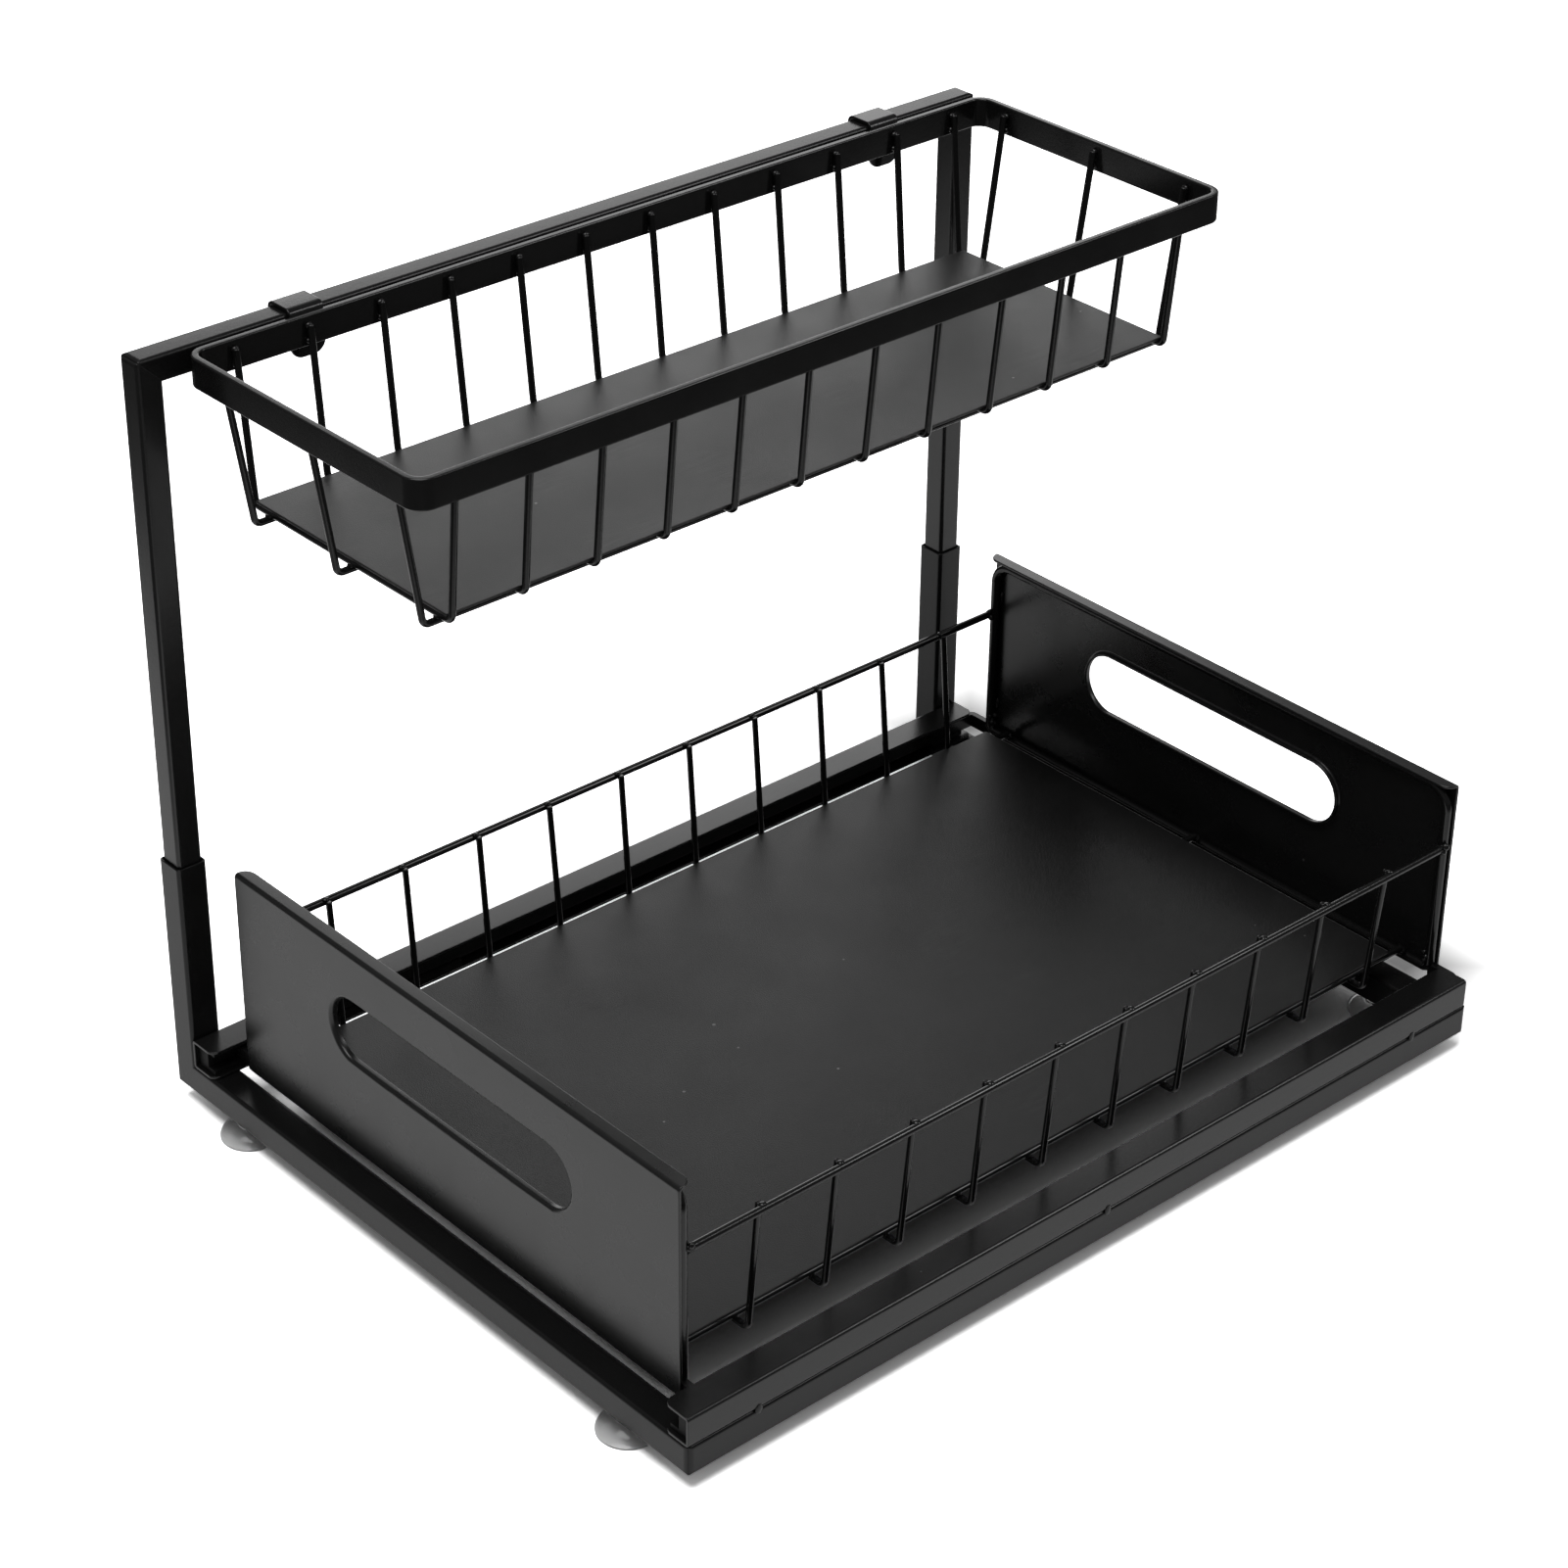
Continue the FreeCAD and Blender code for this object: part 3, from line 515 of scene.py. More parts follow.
@dataclass
class Welder:
    """Lays weld beads on a piece, each a little uneven, from one seeded draw."""

    skin: Skin
    seed: int
    rough: float = 0.1
    lean: float = 0.2
    lean_share: float = 0.5
    least: float = 0.6
    most: float = 1.15
    oval: float = 0.2
    rows: int = 7
    sides: int = 12

    def __post_init__(self) -> None:
        """Starts the draw."""
        self.luck = random.Random(self.seed)

    @staticmethod
    def place(joint: Triple, shift: Triple, across: int, along: int) -> Vector:
        """The place off a joint, with a sign for the shift's X and for its Y."""
        return Vector((joint[0] + across * shift[0], joint[1] + along * shift[1], joint[2] + shift[2]))

    def clump(self, joint: Triple, kind: Clump, across: int = 0, along: int = 0) -> None:
        """Adds a rough clump of small beads.

        Args:
            joint: the joint's place.
            kind: the clump.
            across: the sign of its shift's X.
            along: the sign of its shift's Y.
        """
        centre = self.place(joint, kind.shift, across, along)
        for _ in range(kind.count):
            shift = Vector([self.luck.uniform(-reach, reach) for reach in kind.spread])
            girth = kind.size * self.luck.uniform(self.least, self.most)
            self.lump(centre + shift, (girth, girth * self.luck.uniform(1 - self.oval, 1 + self.oval), girth))

    def bead(self, joint: Triple, kind: Bead, across: int = 0, along: int = 0) -> None:
        """Adds one bead.

        Args:
            joint: the joint's place.
            kind: the bead.
            across: the sign of its shift's X.
            along: the sign of its shift's Y.
        """
        self.lump(self.place(joint, kind.shift, across, along), kind.half)

    def lump(self, centre: Vector, half: Triple) -> None:
        """Adds one lump of weld.

        Args:
            centre: the lump's middle.
            half: its half sizes.
        """
        lean = self.luck.uniform(-self.lean, self.lean)
        loops = []
        for row in range(self.rows):
            rise = math.pi * (row + 0.5) / self.rows
            loop = []
            for side in range(self.sides):
                angle = FULL_TURN * side / self.sides
                swell = 1 + self.luck.uniform(-self.rough, self.rough)
                reach = math.sin(rise) * swell
                x = half[0] * (reach * math.cos(angle) + lean * math.cos(rise) * self.lean_share)
                loop.append(centre + Vector((x, half[1] * reach * math.sin(angle), half[2] * math.cos(rise))))
            loops.append(loop)
        self.skin.loft(loops)


# Finishes


class Graph:
    """A node tree with short calls for adding and linking nodes."""

    def __init__(self, tree: bpy.types.NodeTree) -> None:
        """Takes a tree over and empties it."""
        self.tree = tree
        tree.nodes.clear()

    def add(self, kind: str, inputs: dict[str | int, object] | None = None,
            **settings: object) -> bpy.types.Node:
        """Adds a node, sets it up and links or fills its inputs.

        Args:
            kind: the node's type.
            inputs: a value or an output socket for each named or numbered input.
            settings: the node's own settings.

        Returns:
            The node.
        """
        node = self.tree.nodes.new(kind)
        for name, value in settings.items():
            setattr(node, name, value)
        for key, value in (inputs or {}).items():
            if isinstance(value, Socket):
                self.tree.links.new(value, node.inputs[key])
            else:
                node.inputs[key].default_value = value
        return node

    def sums(self, operation: str, *values: object) -> Socket:
        """Adds a sum and gives its result.

        Args:
            operation: the sum's kind.
            values: numbers or output sockets.

        Returns:
            The result's socket.
        """
        return self.add("ShaderNodeMath", dict(enumerate(values)), operation=operation).outputs[0]

    def span(self, value: Socket, low: object, high: object, to_low: object = 0.0,
             to_high: object = 1.0) -> Socket:
        """Stretches a value's range to another and clamps it; the ends are numbers or sockets.

        Args:
            value: the value's socket.
            low: the value that becomes to_low.
            high: the value that becomes to_high.
            to_low: the new low end.
            to_high: the new high end.

        Returns:
            The result's socket.
        """
        node = self.add("ShaderNodeMapRange", {0: value, 1: low, 2: high, 3: to_low, 4: to_high})
        return node.outputs[0]

    def tint(self, share: Socket, first: object, second: object) -> Socket:
        """Mixes two colours.

        Args:
            share: the share of the second colour.
            first: a colour or a colour socket.
            second: a colour or a colour socket.

        Returns:
            The mixed colour's socket.
        """
        node = self.add("ShaderNodeMix", {0: share, 6: first, 7: second}, data_type="RGBA")
        return node.outputs[2]

    def surface(self, kind: str, inputs: dict[str | int, object]) -> None:
        """Adds the shader that the surface shows."""
        shader = self.add(kind, inputs)
        self.add("ShaderNodeOutputMaterial", {"Surface": shader.outputs[0]})


def new_material(name: str) -> tuple[bpy.types.Material, Graph]:
    """Starts a node material.

    Args:
        name: the material's name.

    Returns:
        The material and its empty graph.
    """
    made = bpy.data.materials.new(name)
    made.use_nodes = True
    return made, Graph(made.node_tree)


def new_group(name: str, inputs: dict[str, float],
              outputs: Sequence[str]) -> tuple[Graph, bpy.types.Node, bpy.types.Node]:
    """Starts a shader node group with number sockets.

    Args:
        name: the group's name.
        inputs: the inputs with their usual values.
        outputs: the outputs.

    Returns:
        The group's graph, its input node and its output node.
    """
    tree = bpy.data.node_groups.new(name, "ShaderNodeTree")
    for label, usual in inputs.items():
        socket = tree.interface.new_socket(name=label, in_out="INPUT", socket_type="NodeSocketFloat")
        socket.default_value = usual
    for label in outputs:
        tree.interface.new_socket(name=label, in_out="OUTPUT", socket_type="NodeSocketFloat")
    graph = Graph(tree)
    return graph, graph.add("NodeGroupInput"), graph.add("NodeGroupOutput")


class Effects:
    """The effects that several finishes share, each built once as a node group."""

    def __init__(self) -> None:
        """Builds the groups."""
        self.grain = self.make_grain()
        self.flecks = self.make_flecks()
        self.smudges = self.make_smudges()
        self.edges = self.make_edge_highlight_mask()

    @staticmethod
    def make_grain() -> bpy.types.NodeTree:
        """Builds the height of a sprayed coat: a soft peel with a fine grain, and a slow mottle.

        Returns:
            The group.
        """
        usual = {"Peel Scale": 420.0, "Grain Scale": 2600.0, "Grain Share": 0.4}
        graph, given, out = new_group("coat_grain", usual, ("Height", "Mottle"))
        place = graph.add("ShaderNodeTexCoord").outputs["Object"]
        peel = graph.add("ShaderNodeTexNoise", {"Vector": place, "Scale": given.outputs[0], "Detail": 2.0})
        grain = graph.add("ShaderNodeTexNoise", {"Vector": place, "Scale": given.outputs[1], "Detail": 1.0})
        slow = graph.add("ShaderNodeTexNoise", {"Vector": place, "Scale": 32.0, "Detail": 4.0,
                                                "Roughness": 0.6})
        height = graph.add("ShaderNodeMix", {0: given.outputs[2], 2: peel.outputs[0], 3: grain.outputs[0]})
        graph.tree.links.new(height.outputs[0], out.inputs[0])
        graph.tree.links.new(graph.span(slow.outputs[0], low=0.3, high=0.7), out.inputs[1])
        return graph.tree

    @staticmethod
    def make_flecks() -> bpy.types.NodeTree:
        """Builds scattered specks of dust, each in its own cell.

        Returns:
            The group.
        """
        usual = {"Scale": 140.0, "Cover": 0.2, "Size": 0.08, "Least": 0.35}
        graph, given, out = new_group("dust_flecks", usual, ("Mask",))
        place = graph.add("ShaderNodeTexCoord").outputs["Object"]
        cells = graph.add("ShaderNodeTexVoronoi", {"Vector": place, "Scale": given.outputs[0]})
        draw = graph.add("ShaderNodeSeparateColor", {0: cells.outputs["Color"]})
        chosen = graph.sums("LESS_THAN", draw.outputs[0], given.outputs[1])
        reach = graph.sums("MULTIPLY", given.outputs[2], draw.outputs[1])
        inside = graph.sums("LESS_THAN", cells.outputs["Distance"], reach)
        strength = graph.span(draw.outputs[2], 0.0, 1.0, to_low=given.outputs[3])
        mask = graph.sums("MULTIPLY", graph.sums("MULTIPLY", chosen, inside), strength)
        graph.tree.links.new(mask, out.inputs[0])
        return graph.tree

    @staticmethod
    def make_smudges() -> bpy.types.NodeTree:
        """Builds faint patches of handling and packing marks with a streak in them.

        Returns:
            The group.
        """
        usual = {"Scale": 22.0, "Cover": 0.6, "Soft Edge": 0.14}
        graph, given, out = new_group("handling_smudges", usual, ("Mask",))
        place = graph.add("ShaderNodeTexCoord").outputs["Object"]
        patch = graph.add("ShaderNodeTexNoise", {"Vector": place, "Scale": given.outputs[0], "Detail": 3.0})
        turned = graph.add("ShaderNodeMapping", {"Vector": place, "Rotation": (0.0, 0.0, 0.7),
                                                 "Scale": (1.0, 0.12, 1.0)})
        streak = graph.add("ShaderNodeTexNoise", {"Vector": turned.outputs[0], "Scale": 620.0, "Detail": 3.0})
        edge = graph.sums("ADD", given.outputs[1], given.outputs[2])
        rise = graph.span(patch.outputs[0], given.outputs[1], edge)
        mask = graph.sums("MULTIPLY", rise, graph.span(streak.outputs[0], low=0.42, high=0.75))
        graph.tree.links.new(mask, out.inputs[0])
        return graph.tree

    @staticmethod
    def make_edge_highlight_mask() -> bpy.types.NodeTree:
        """Builds the mask of the sharp edges, where the coat is given a painted highlight and less roughness.

        Returns:
            The group.
        """
        graph, given, out = new_group("painted_edge_highlight", {"Radius": 0.0007, "Gain": 4.0}, ("Mask",))
        bevel = graph.add("ShaderNodeBevel", {"Radius": given.outputs[0]}, samples=4)
        true = graph.add("ShaderNodeNewGeometry").outputs["Normal"]
        same = graph.add("ShaderNodeVectorMath", {0: bevel.outputs[0], 1: true}, operation="DOT_PRODUCT")
        away = graph.sums("SUBTRACT", 1.0, same.outputs["Value"])
        mask = graph.add("ShaderNodeClamp", {0: graph.sums("MULTIPLY", away, given.outputs[1])})
        graph.tree.links.new(mask.outputs[0], out.inputs[0])
        return graph.tree


def grey(level: float) -> tuple[float, float, float, float]:
    """A neutral colour of one level."""
    return (level, level, level, 1.0)


@dataclass(frozen=True)
class PowderCoat:
    """A black powder coat on steel, how it varies over the surface, and a painted highlight along its sharp
    edges.
    """

    name: str
    slot: Slot
    tone: float
    dust: float
    roughness: float
    specular: float
    peel_scale: float
    grain_scale: float
    grain_share: float
    height: float
    fleck_scale: float
    fleck_cover: float
    smudge_cover: float
    smudge_gain: float
    mottle: float = 0.14
    # edge_highlight_share and edge_highlight_gain set the painted highlight: a lighter colour along sharp
    # edges.
    edge_highlight_share: float = 0.5
    edge_highlight_gain: float = 2.2
    fleck_gain: float = 3.0
    rough_swing: float = 0.03
    smudge_rough: float = 0.2
    edge_smooth: float = 0.12

    def material(self, effects: Effects) -> bpy.types.Material:
        """Makes the material.

        Args:
            effects: the shared node groups.

        Returns:
            The material.
        """
        made, graph = new_material(self.name)
        grain = graph.add("ShaderNodeGroup", {
            "Peel Scale": self.peel_scale, "Grain Scale": self.grain_scale, "Grain Share": self.grain_share,
        }, node_tree=effects.grain).outputs
        flecks = graph.add("ShaderNodeGroup", {"Scale": self.fleck_scale, "Cover": self.fleck_cover},
                           node_tree=effects.flecks).outputs["Mask"]
        smudges = graph.add("ShaderNodeGroup", {"Cover": self.smudge_cover}, node_tree=effects.smudges)
        edges = graph.add("ShaderNodeGroup", node_tree=effects.edges).outputs["Mask"]
        marks = graph.sums("MULTIPLY", smudges.outputs["Mask"], self.smudge_gain)
        mottled = graph.tint(grain["Mottle"], grey(self.tone * (1 - self.mottle)),
                             grey(self.tone * (1 + self.mottle)))
        # Painted highlight: the colour is lightened along sharp edges, standing in for the bright edge lines.
        edge_highlit = graph.tint(graph.sums("MULTIPLY", edges, self.edge_highlight_share), mottled,
                          grey(self.tone * self.edge_highlight_gain))
        marked = graph.tint(marks, edge_highlit, grey(self.dust))
        dusted = graph.tint(flecks, marked, grey(self.dust * self.fleck_gain))
        swing = graph.span(grain["Mottle"], 0.0, 1.0, self.roughness - self.rough_swing,
                           self.roughness + self.rough_swing)
        rough = graph.sums("ADD", swing, graph.sums("MULTIPLY", marks, self.smudge_rough))
        smooth = graph.sums("SUBTRACT", rough, graph.sums("MULTIPLY", edges, self.edge_smooth))
        bump = graph.add("ShaderNodeBump", {"Height": grain["Height"], "Distance": self.height * MM})
        graph.surface("ShaderNodeBsdfPrincipled", {
            "Base Color": dusted, "Roughness": smooth, "Specular IOR Level": self.specular,
            "Normal": bump.outputs[0]})
        return made


@dataclass(frozen=True)
class MouldedNylon:
    """Black moulded nylon with a fine matt texture."""

    name: str
    slot: Slot
    tone: float
    roughness: float
    dark: float = 0.8
    pale: float = 1.25
    rough_swing: float = 0.06
    peel_scale: float = 1500.0
    height: float = 0.04
    specular: float = 0.2

    def material(self, effects: Effects) -> bpy.types.Material:
        """Makes the material.

        Args:
            effects: the shared node groups.

        Returns:
            The material.
        """
        made, graph = new_material(self.name)
        grain = graph.add("ShaderNodeGroup", {"Peel Scale": self.peel_scale}, node_tree=effects.grain).outputs
        colour = graph.tint(grain["Mottle"], grey(self.tone * self.dark), grey(self.tone * self.pale))
        rough = graph.span(grain["Mottle"], 0.0, 1.0, self.roughness - self.rough_swing,
                           self.roughness + self.rough_swing)
        bump = graph.add("ShaderNodeBump", {"Height": grain["Height"], "Distance": self.height * MM})
        graph.surface("ShaderNodeBsdfPrincipled", {
            "Base Color": colour, "Roughness": rough, "Specular IOR Level": self.specular,
            "Normal": bump.outputs[0]})
        return made


@dataclass(frozen=True)
class ClearVinyl:
    """Soft clear vinyl with a faint haze, and a painted dark shade where it is seen edge-on."""

    name: str
    slot: Slot
    tone: float
    roughness: float
    haze: float = 0.93
    fleck: float = 0.6
    fleck_scale: float = 420.0
    # outline sets the painted shade's colour, as a share of the tone, where the cup is seen edge-on.
    outline: float = 0.2
    painted_shade_start: float = 0.6
    painted_shade_end: float = 0.95
    rough_swing: float = 0.05
    height: float = 0.02

    def material(self, effects: Effects) -> bpy.types.Material:
        """Makes the material.

        Args:
            effects: the shared node groups.

        Returns:
            The material.
        """
        made, graph = new_material(self.name)
        grain = graph.add("ShaderNodeGroup", node_tree=effects.grain).outputs
        flecks = graph.add("ShaderNodeGroup", {"Scale": self.fleck_scale}, node_tree=effects.flecks)
        hazy = graph.tint(grain["Mottle"], grey(self.tone), grey(self.tone * self.haze))
        specked = graph.tint(flecks.outputs["Mask"], hazy, grey(self.tone * self.fleck))
        # Painted shade: the colour darkens towards the edge-on outline, standing in for the dark refraction
        # there.
        facing = graph.add("ShaderNodeLayerWeight", {"Blend": 0.5}).outputs["Facing"]
        rim = graph.span(facing, self.painted_shade_start, self.painted_shade_end)
        colour = graph.tint(rim, specked, grey(self.tone * self.outline))
        rough = graph.span(grain["Mottle"], 0.0, 1.0, self.roughness, self.roughness + self.rough_swing)
        bump = graph.add("ShaderNodeBump", {"Height": grain["Height"], "Distance": self.height * MM})
        graph.surface("ShaderNodeBsdfPrincipled", {
            "Base Color": colour, "Roughness": rough, "Normal": bump.outputs[0], "IOR": 1.5,
            "Transmission Weight": 1.0})
        return made


TUBE_COAT = PowderCoat("tube_coat", Slot.COAT, tone=0.008, dust=0.03, roughness=0.24, specular=0.28,
                       peel_scale=700.0, grain_scale=2000.0, grain_share=0.4, height=0.03,
                       fleck_scale=95.0, fleck_cover=0.10, smudge_cover=0.66, smudge_gain=0.25)
POST_COAT = replace(TUBE_COAT, name="post_coat", specular=0.5)
CHANNEL_COAT = replace(TUBE_COAT, name="channel_coat", specular=0.42)
RIM_COAT = replace(TUBE_COAT, name="rim_coat", roughness=0.17, specular=0.4)
PANEL_COAT = PowderCoat("panel_coat", Slot.SHEET, tone=0.008, dust=0.03, roughness=0.28, specular=0.54,
                        peel_scale=420.0, grain_scale=2600.0, grain_share=0.4, height=0.02,
                        fleck_scale=80.0, fleck_cover=0.08, smudge_cover=0.68, smudge_gain=0.2)
FLOOR_COAT = PowderCoat("floor_coat", Slot.SHEET, tone=0.008, dust=0.05, roughness=0.45, specular=0.37,
                        peel_scale=1700.0, grain_scale=3600.0, grain_share=0.4, height=0.12,
                        fleck_scale=110.0, fleck_cover=0.16, smudge_cover=0.6, smudge_gain=0.4)
BASKET_COAT = replace(FLOOR_COAT, name="basket_coat", dust=0.1, specular=0.7,
                      smudge_cover=0.55, smudge_gain=0.45)
WIRE_COAT = PowderCoat("wire_coat", Slot.WIRE, tone=0.006, dust=0.03, roughness=0.15, specular=0.42,
                       peel_scale=520.0, grain_scale=2600.0, grain_share=0.3, height=0.03,
                       fleck_scale=90.0, fleck_cover=0.06, smudge_cover=0.7, smudge_gain=0.2)
NYLON = MouldedNylon("moulded_nylon", Slot.NYLON, tone=0.006, roughness=0.55)
VINYL = ClearVinyl("clear_cup_vinyl", Slot.VINYL, tone=0.94, roughness=0.02)

Finish = PowderCoat | MouldedNylon | ClearVinyl


class Shop:
    """Makes the materials once, and keeps the loaded frame for the pieces that ride on the CAD bodies."""

    def __init__(self, frame: dict) -> None:
        """Keeps the loaded frame and makes the shared effects.
        """
        self.frame = frame
        self.effects = Effects()
        self.made: dict[str, bpy.types.Material] = {}

    def material(self, finish: Finish) -> bpy.types.Material:
        """Gives a finish's material, made on its first use.

        Args:
            finish: the finish.

        Returns:
            The material.
        """
        if finish.name not in self.made:
            self.made[finish.name] = finish.material(self.effects)
        return self.made[finish.name]


# Sub-assemblies


@dataclass
class SubAssembly:
    """A sub-assembly whose pieces ride on one body."""

    shop: Shop
    body: ClassVar[Body]
    shading_weight: ClassVar[int] = 90

    def piece(self, name: str, skin: Skin, finish: Finish, *nodes: str) -> None:
        """Makes a piece that moves with the body and stands for CAD nodes.

        Args:
            name: the piece's name.
            skin: its points and faces.
            finish: its finish.
            nodes: the CAD nodes that it stands for.
        """
        piece = bpy.data.objects.new(name, skin.mesh(name))
        bpy.context.scene.collection.objects.link(piece)
        piece.data.materials.append(self.shop.material(finish))
        even = piece.modifiers.new("even_shading", "WEIGHTED_NORMAL")
        even.weight = self.shading_weight
        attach(piece, self.body.value)
        if nodes:
            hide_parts(*nodes)
        LOG.info("%s: %d faces on %s", name, len(piece.data.polygons), self.body.value)

    def dress(self, finish: Finish, *nodes: str) -> None:
        """Gives CAD nodes that stay a finish.

        Args:
            finish: the finish.
            nodes: the nodes.
        """
        for node in nodes:
            for slot in self.shop.frame["nodes"][node].material_slots:
                slot.material = self.shop.material(finish)
            LOG.info("%s keeps its solid", node)


@dataclass
class BaseFrame(SubAssembly):
    """The tube base with its post sleeves, slide channels and suction feet."""

    body: ClassVar[Body] = Body.BASE
    half_width: float = 155.0
    half_length: float = 205.0
    foot_height: float = 7.0
    tube: float = 13.0
    wall: float = 0.8
    corner: float = 1.6
    sleeve_top: float = 110.0
    sleeve_depth: float = 60.0
    channel_height: float = 12.8
    channel_depth: float = 13.5
    channel_sheet: float = 1.2
    channel_setback: float = 2.0
    channel_fold: float = 0.9
    channel_corner: float = 4.0
    fold_steps: int = 5
    foot_inset: float = 40.0
    foot_stem: tuple[Flat, ...] = ((0.4, 3.0), (2.2, 3.0), (3.4, 0.6), (3.2, 0.05), (2.2, 0.0))
    foot_bell: tuple[Flat, ...] = ((2.2, 7.0), (4.5, 7.0), (4.3, 6.0), (5.2, 5.3), (8.0, 4.8), (10.6, 3.2),
                                   (12.0, 1.2), (11.9, 0.0))
    foot_hollow: tuple[Flat, ...] = ((11.2, 0.0), (10.2, 0.9), (7.6, 2.0), (4.0, 2.6), (0.4, 2.7))
    weld_seed: int = 11
    weld_inset: float = 32.0
    seam_bead: Bead = Bead((0.5, 1.7, 2.3))
    flange_bead: Bead = Bead((1.2, 3.2, 0.9))
    sleeve_beads: tuple[Bead, ...] = (Bead((0.9, 1.2, 1.9), (0.3, 0.0, 2.5)),
                                      Bead((0.9, 1.2, 1.9), (0.3, 0.0, 8.5)))
    sleeve_bead_insets: Flat = (13.2, 15.2)

    def build(self) -> None:
        """Builds every piece of the base."""
        self.build_tubes()
        self.build_channels()
        self.build_feet()
        self.build_welds()
        self.dress(NYLON, "post_stop_plugs", "left_channel_liner", "right_channel_liner")

    def build_tubes(self) -> None:
        """Builds the mitred tubes and the two sleeves."""
        half = self.tube / 2
        level = self.foot_height + half
        inner_x = self.half_width - half
        corners = {name: Vector((self.half_width, way * self.half_length, 0)) for name, way in ENDS}
        for name, way in ENDS:
            y = way * (self.half_length - half)
            foot = Vector((-self.half_width, y, self.foot_height))
            upright = Cut(foot, Vector((-1, 0, 1)).normalized())
            mitre = Cut(corners[name], Vector((1, -way, 0)).normalized())
            skin = Skin()
            run = SquareTube(Vector((0, y, level)), EAST, NORTH, self.tube, self.corner)
            run.add(skin, upright, mitre)
            self.piece(f"{name}_tube", skin, TUBE_COAT, f"{name}_base_tube")
            skin = Skin()
            sleeve = SquareTube(Vector((-inner_x, y, 0)), UP, EAST, self.tube, self.corner)
            top = Cut(Vector((0, 0, self.sleeve_top)), UP)
            sleeve.add(skin, Cut(foot, -upright.normal), top, self.wall, self.sleeve_depth)
            self.piece(f"{name}_sleeve", skin, TUBE_COAT, f"{name}_post_sleeve")
        skin = Skin()
        side = SquareTube(Vector((inner_x, 0, level)), NORTH, -EAST, self.tube, self.corner)
        side.add(skin, *(Cut(corners[name], Vector((-1, way, 0)).normalized()) for name, way in ENDS))
        self.piece("right_tube", skin, TUBE_COAT, "right_base_tube")

    def build_channels(self) -> None:
        """Builds the folded slide channels."""
        half = self.channel_sheet / 2
        low = self.foot_height + self.tube + half
        high = low + self.channel_height - self.channel_sheet
        reach = self.channel_depth - half
        length = self.half_length * 2 - self.channel_setback
        start = Vector((0, -self.half_length, 0))
        for name, web, way in (("left", self.tube - self.half_width + half, 1),
                               ("right", self.half_width - half, -1)):

            def outline(back: float, web: float = web, way: int = way) -> Loop:
                """The channel's section.

                Args:
                    back: how far its flanges are drawn back.
                    web: the place of its web.
                    way: the side that its flanges point to.

                Returns:
                    The points along the middle of its sheet.
                """
                tip = web + way * (reach - back - STRIP_EDGE)
                corners = ((tip, high), (web, high), (web, low), (tip, low))
                return bent_path([Vector((x, 0, z)) for x, z in corners], self.channel_fold, self.fold_steps)

            skin = Skin()
            add_strip(skin, outline, start, NORTH, length, self.channel_sheet, self.channel_corner)
            self.piece(f"{name}_channel", skin, CHANNEL_COAT, f"{name}_slide_channel")

    def build_feet(self) -> None:
        """Builds the clear suction feet."""
        rise = self.foot_height + self.wall
        stem = softened([(radius, rise + above) for radius, above in self.foot_stem], 1)
        profile = stem + softened(self.foot_bell) + softened(self.foot_hollow)
        for row, y in ENDS:
            for column, x in SIDES:
                skin = Skin()
                add_turned(skin, profile, x * (self.half_width - self.foot_inset),
                           y * (self.half_length - self.tube / 2))
                self.piece(f"cup_{row}_{column}", skin, VINYL, f"suction_foot_{row}_{column}")

    def build_welds(self) -> None:
        """Builds the weld beads of the base."""
        skin = Skin()
        welder = Welder(skin, self.weld_seed)
        seam = self.foot_height + self.tube
        first = self.weld_inset - self.half_length
        last = self.half_length - self.channel_setback - self.weld_inset
        for y in (first, (first + last) / 2, last):
            welder.bead((self.half_width, y, seam), self.seam_bead)
            welder.bead((self.half_width - self.channel_depth, y, seam), self.flange_bead)
        for (_, way), inset in zip(ENDS, self.sleeve_bead_insets):
            joint = (self.tube - self.half_width, way * (self.half_length - inset), seam)
            for bead in self.sleeve_beads:
                welder.bead(joint, bead, across=1)
        self.piece("seam_welds", skin, TUBE_COAT, "channel_weld_spots")


@dataclass
class UpperFrame(SubAssembly):
    """The lift-out frame: two posts and the crossbar between them."""

    body: ClassVar[Body] = Body.UPPER
    tube: float = 10.8
    corner: float = 1.6
    middle_x: float = -148.5
    half_length: float = 203.9
    foot: float = 50.0
    top: float = 319.5

    def build(self) -> None:
        """Builds the posts and the crossbar."""
        half = self.tube / 2
        corners = {name: Vector((0, way * self.half_length, self.top)) for name, way in ENDS}
        foot = Cut(Vector((0, 0, self.foot)), -UP)
        for name, way in ENDS:
            skin = Skin()
            middle = Vector((self.middle_x, way * (self.half_length - half), 0))
            post = SquareTube(middle, UP, EAST, self.tube, self.corner)
            post.add(skin, foot, Cut(corners[name], Vector((0, -way, 1)).normalized()))
            self.piece(f"{name}_post", skin, POST_COAT, f"{name}_upper_post")
        skin = Skin()
        bar = SquareTube(Vector((self.middle_x, 0, self.top - half)), NORTH, EAST, self.tube, self.corner)
        bar.add(skin, *(Cut(corners[name], Vector((0, way, -1)).normalized()) for name, way in ENDS))
        self.piece("crossbar", skin, TUBE_COAT, "upper_crossbar")


def trough_path(top: float, high: float, foot: float, low: float, bend: float, along: Vector) -> Loop:
    """The middle line of a U-shaped wire.

    Args:
        top: half the distance between its ends.
        high: the height of its ends.
        foot: half of its floor run, bends left out.
        low: the height of its floor run.
        bend: the bends' radius.
        along: the direction of the floor run.

    Returns:
        The points along it, round zero.
    """
    lean = (top - foot - bend) / (high - low - bend)
    reach = foot + bend - lean * bend
    corners = [(-top, high), (-reach, low), (reach, low), (top, high)]
    return bent_path([along * place + UP * height for place, height in corners], bend)


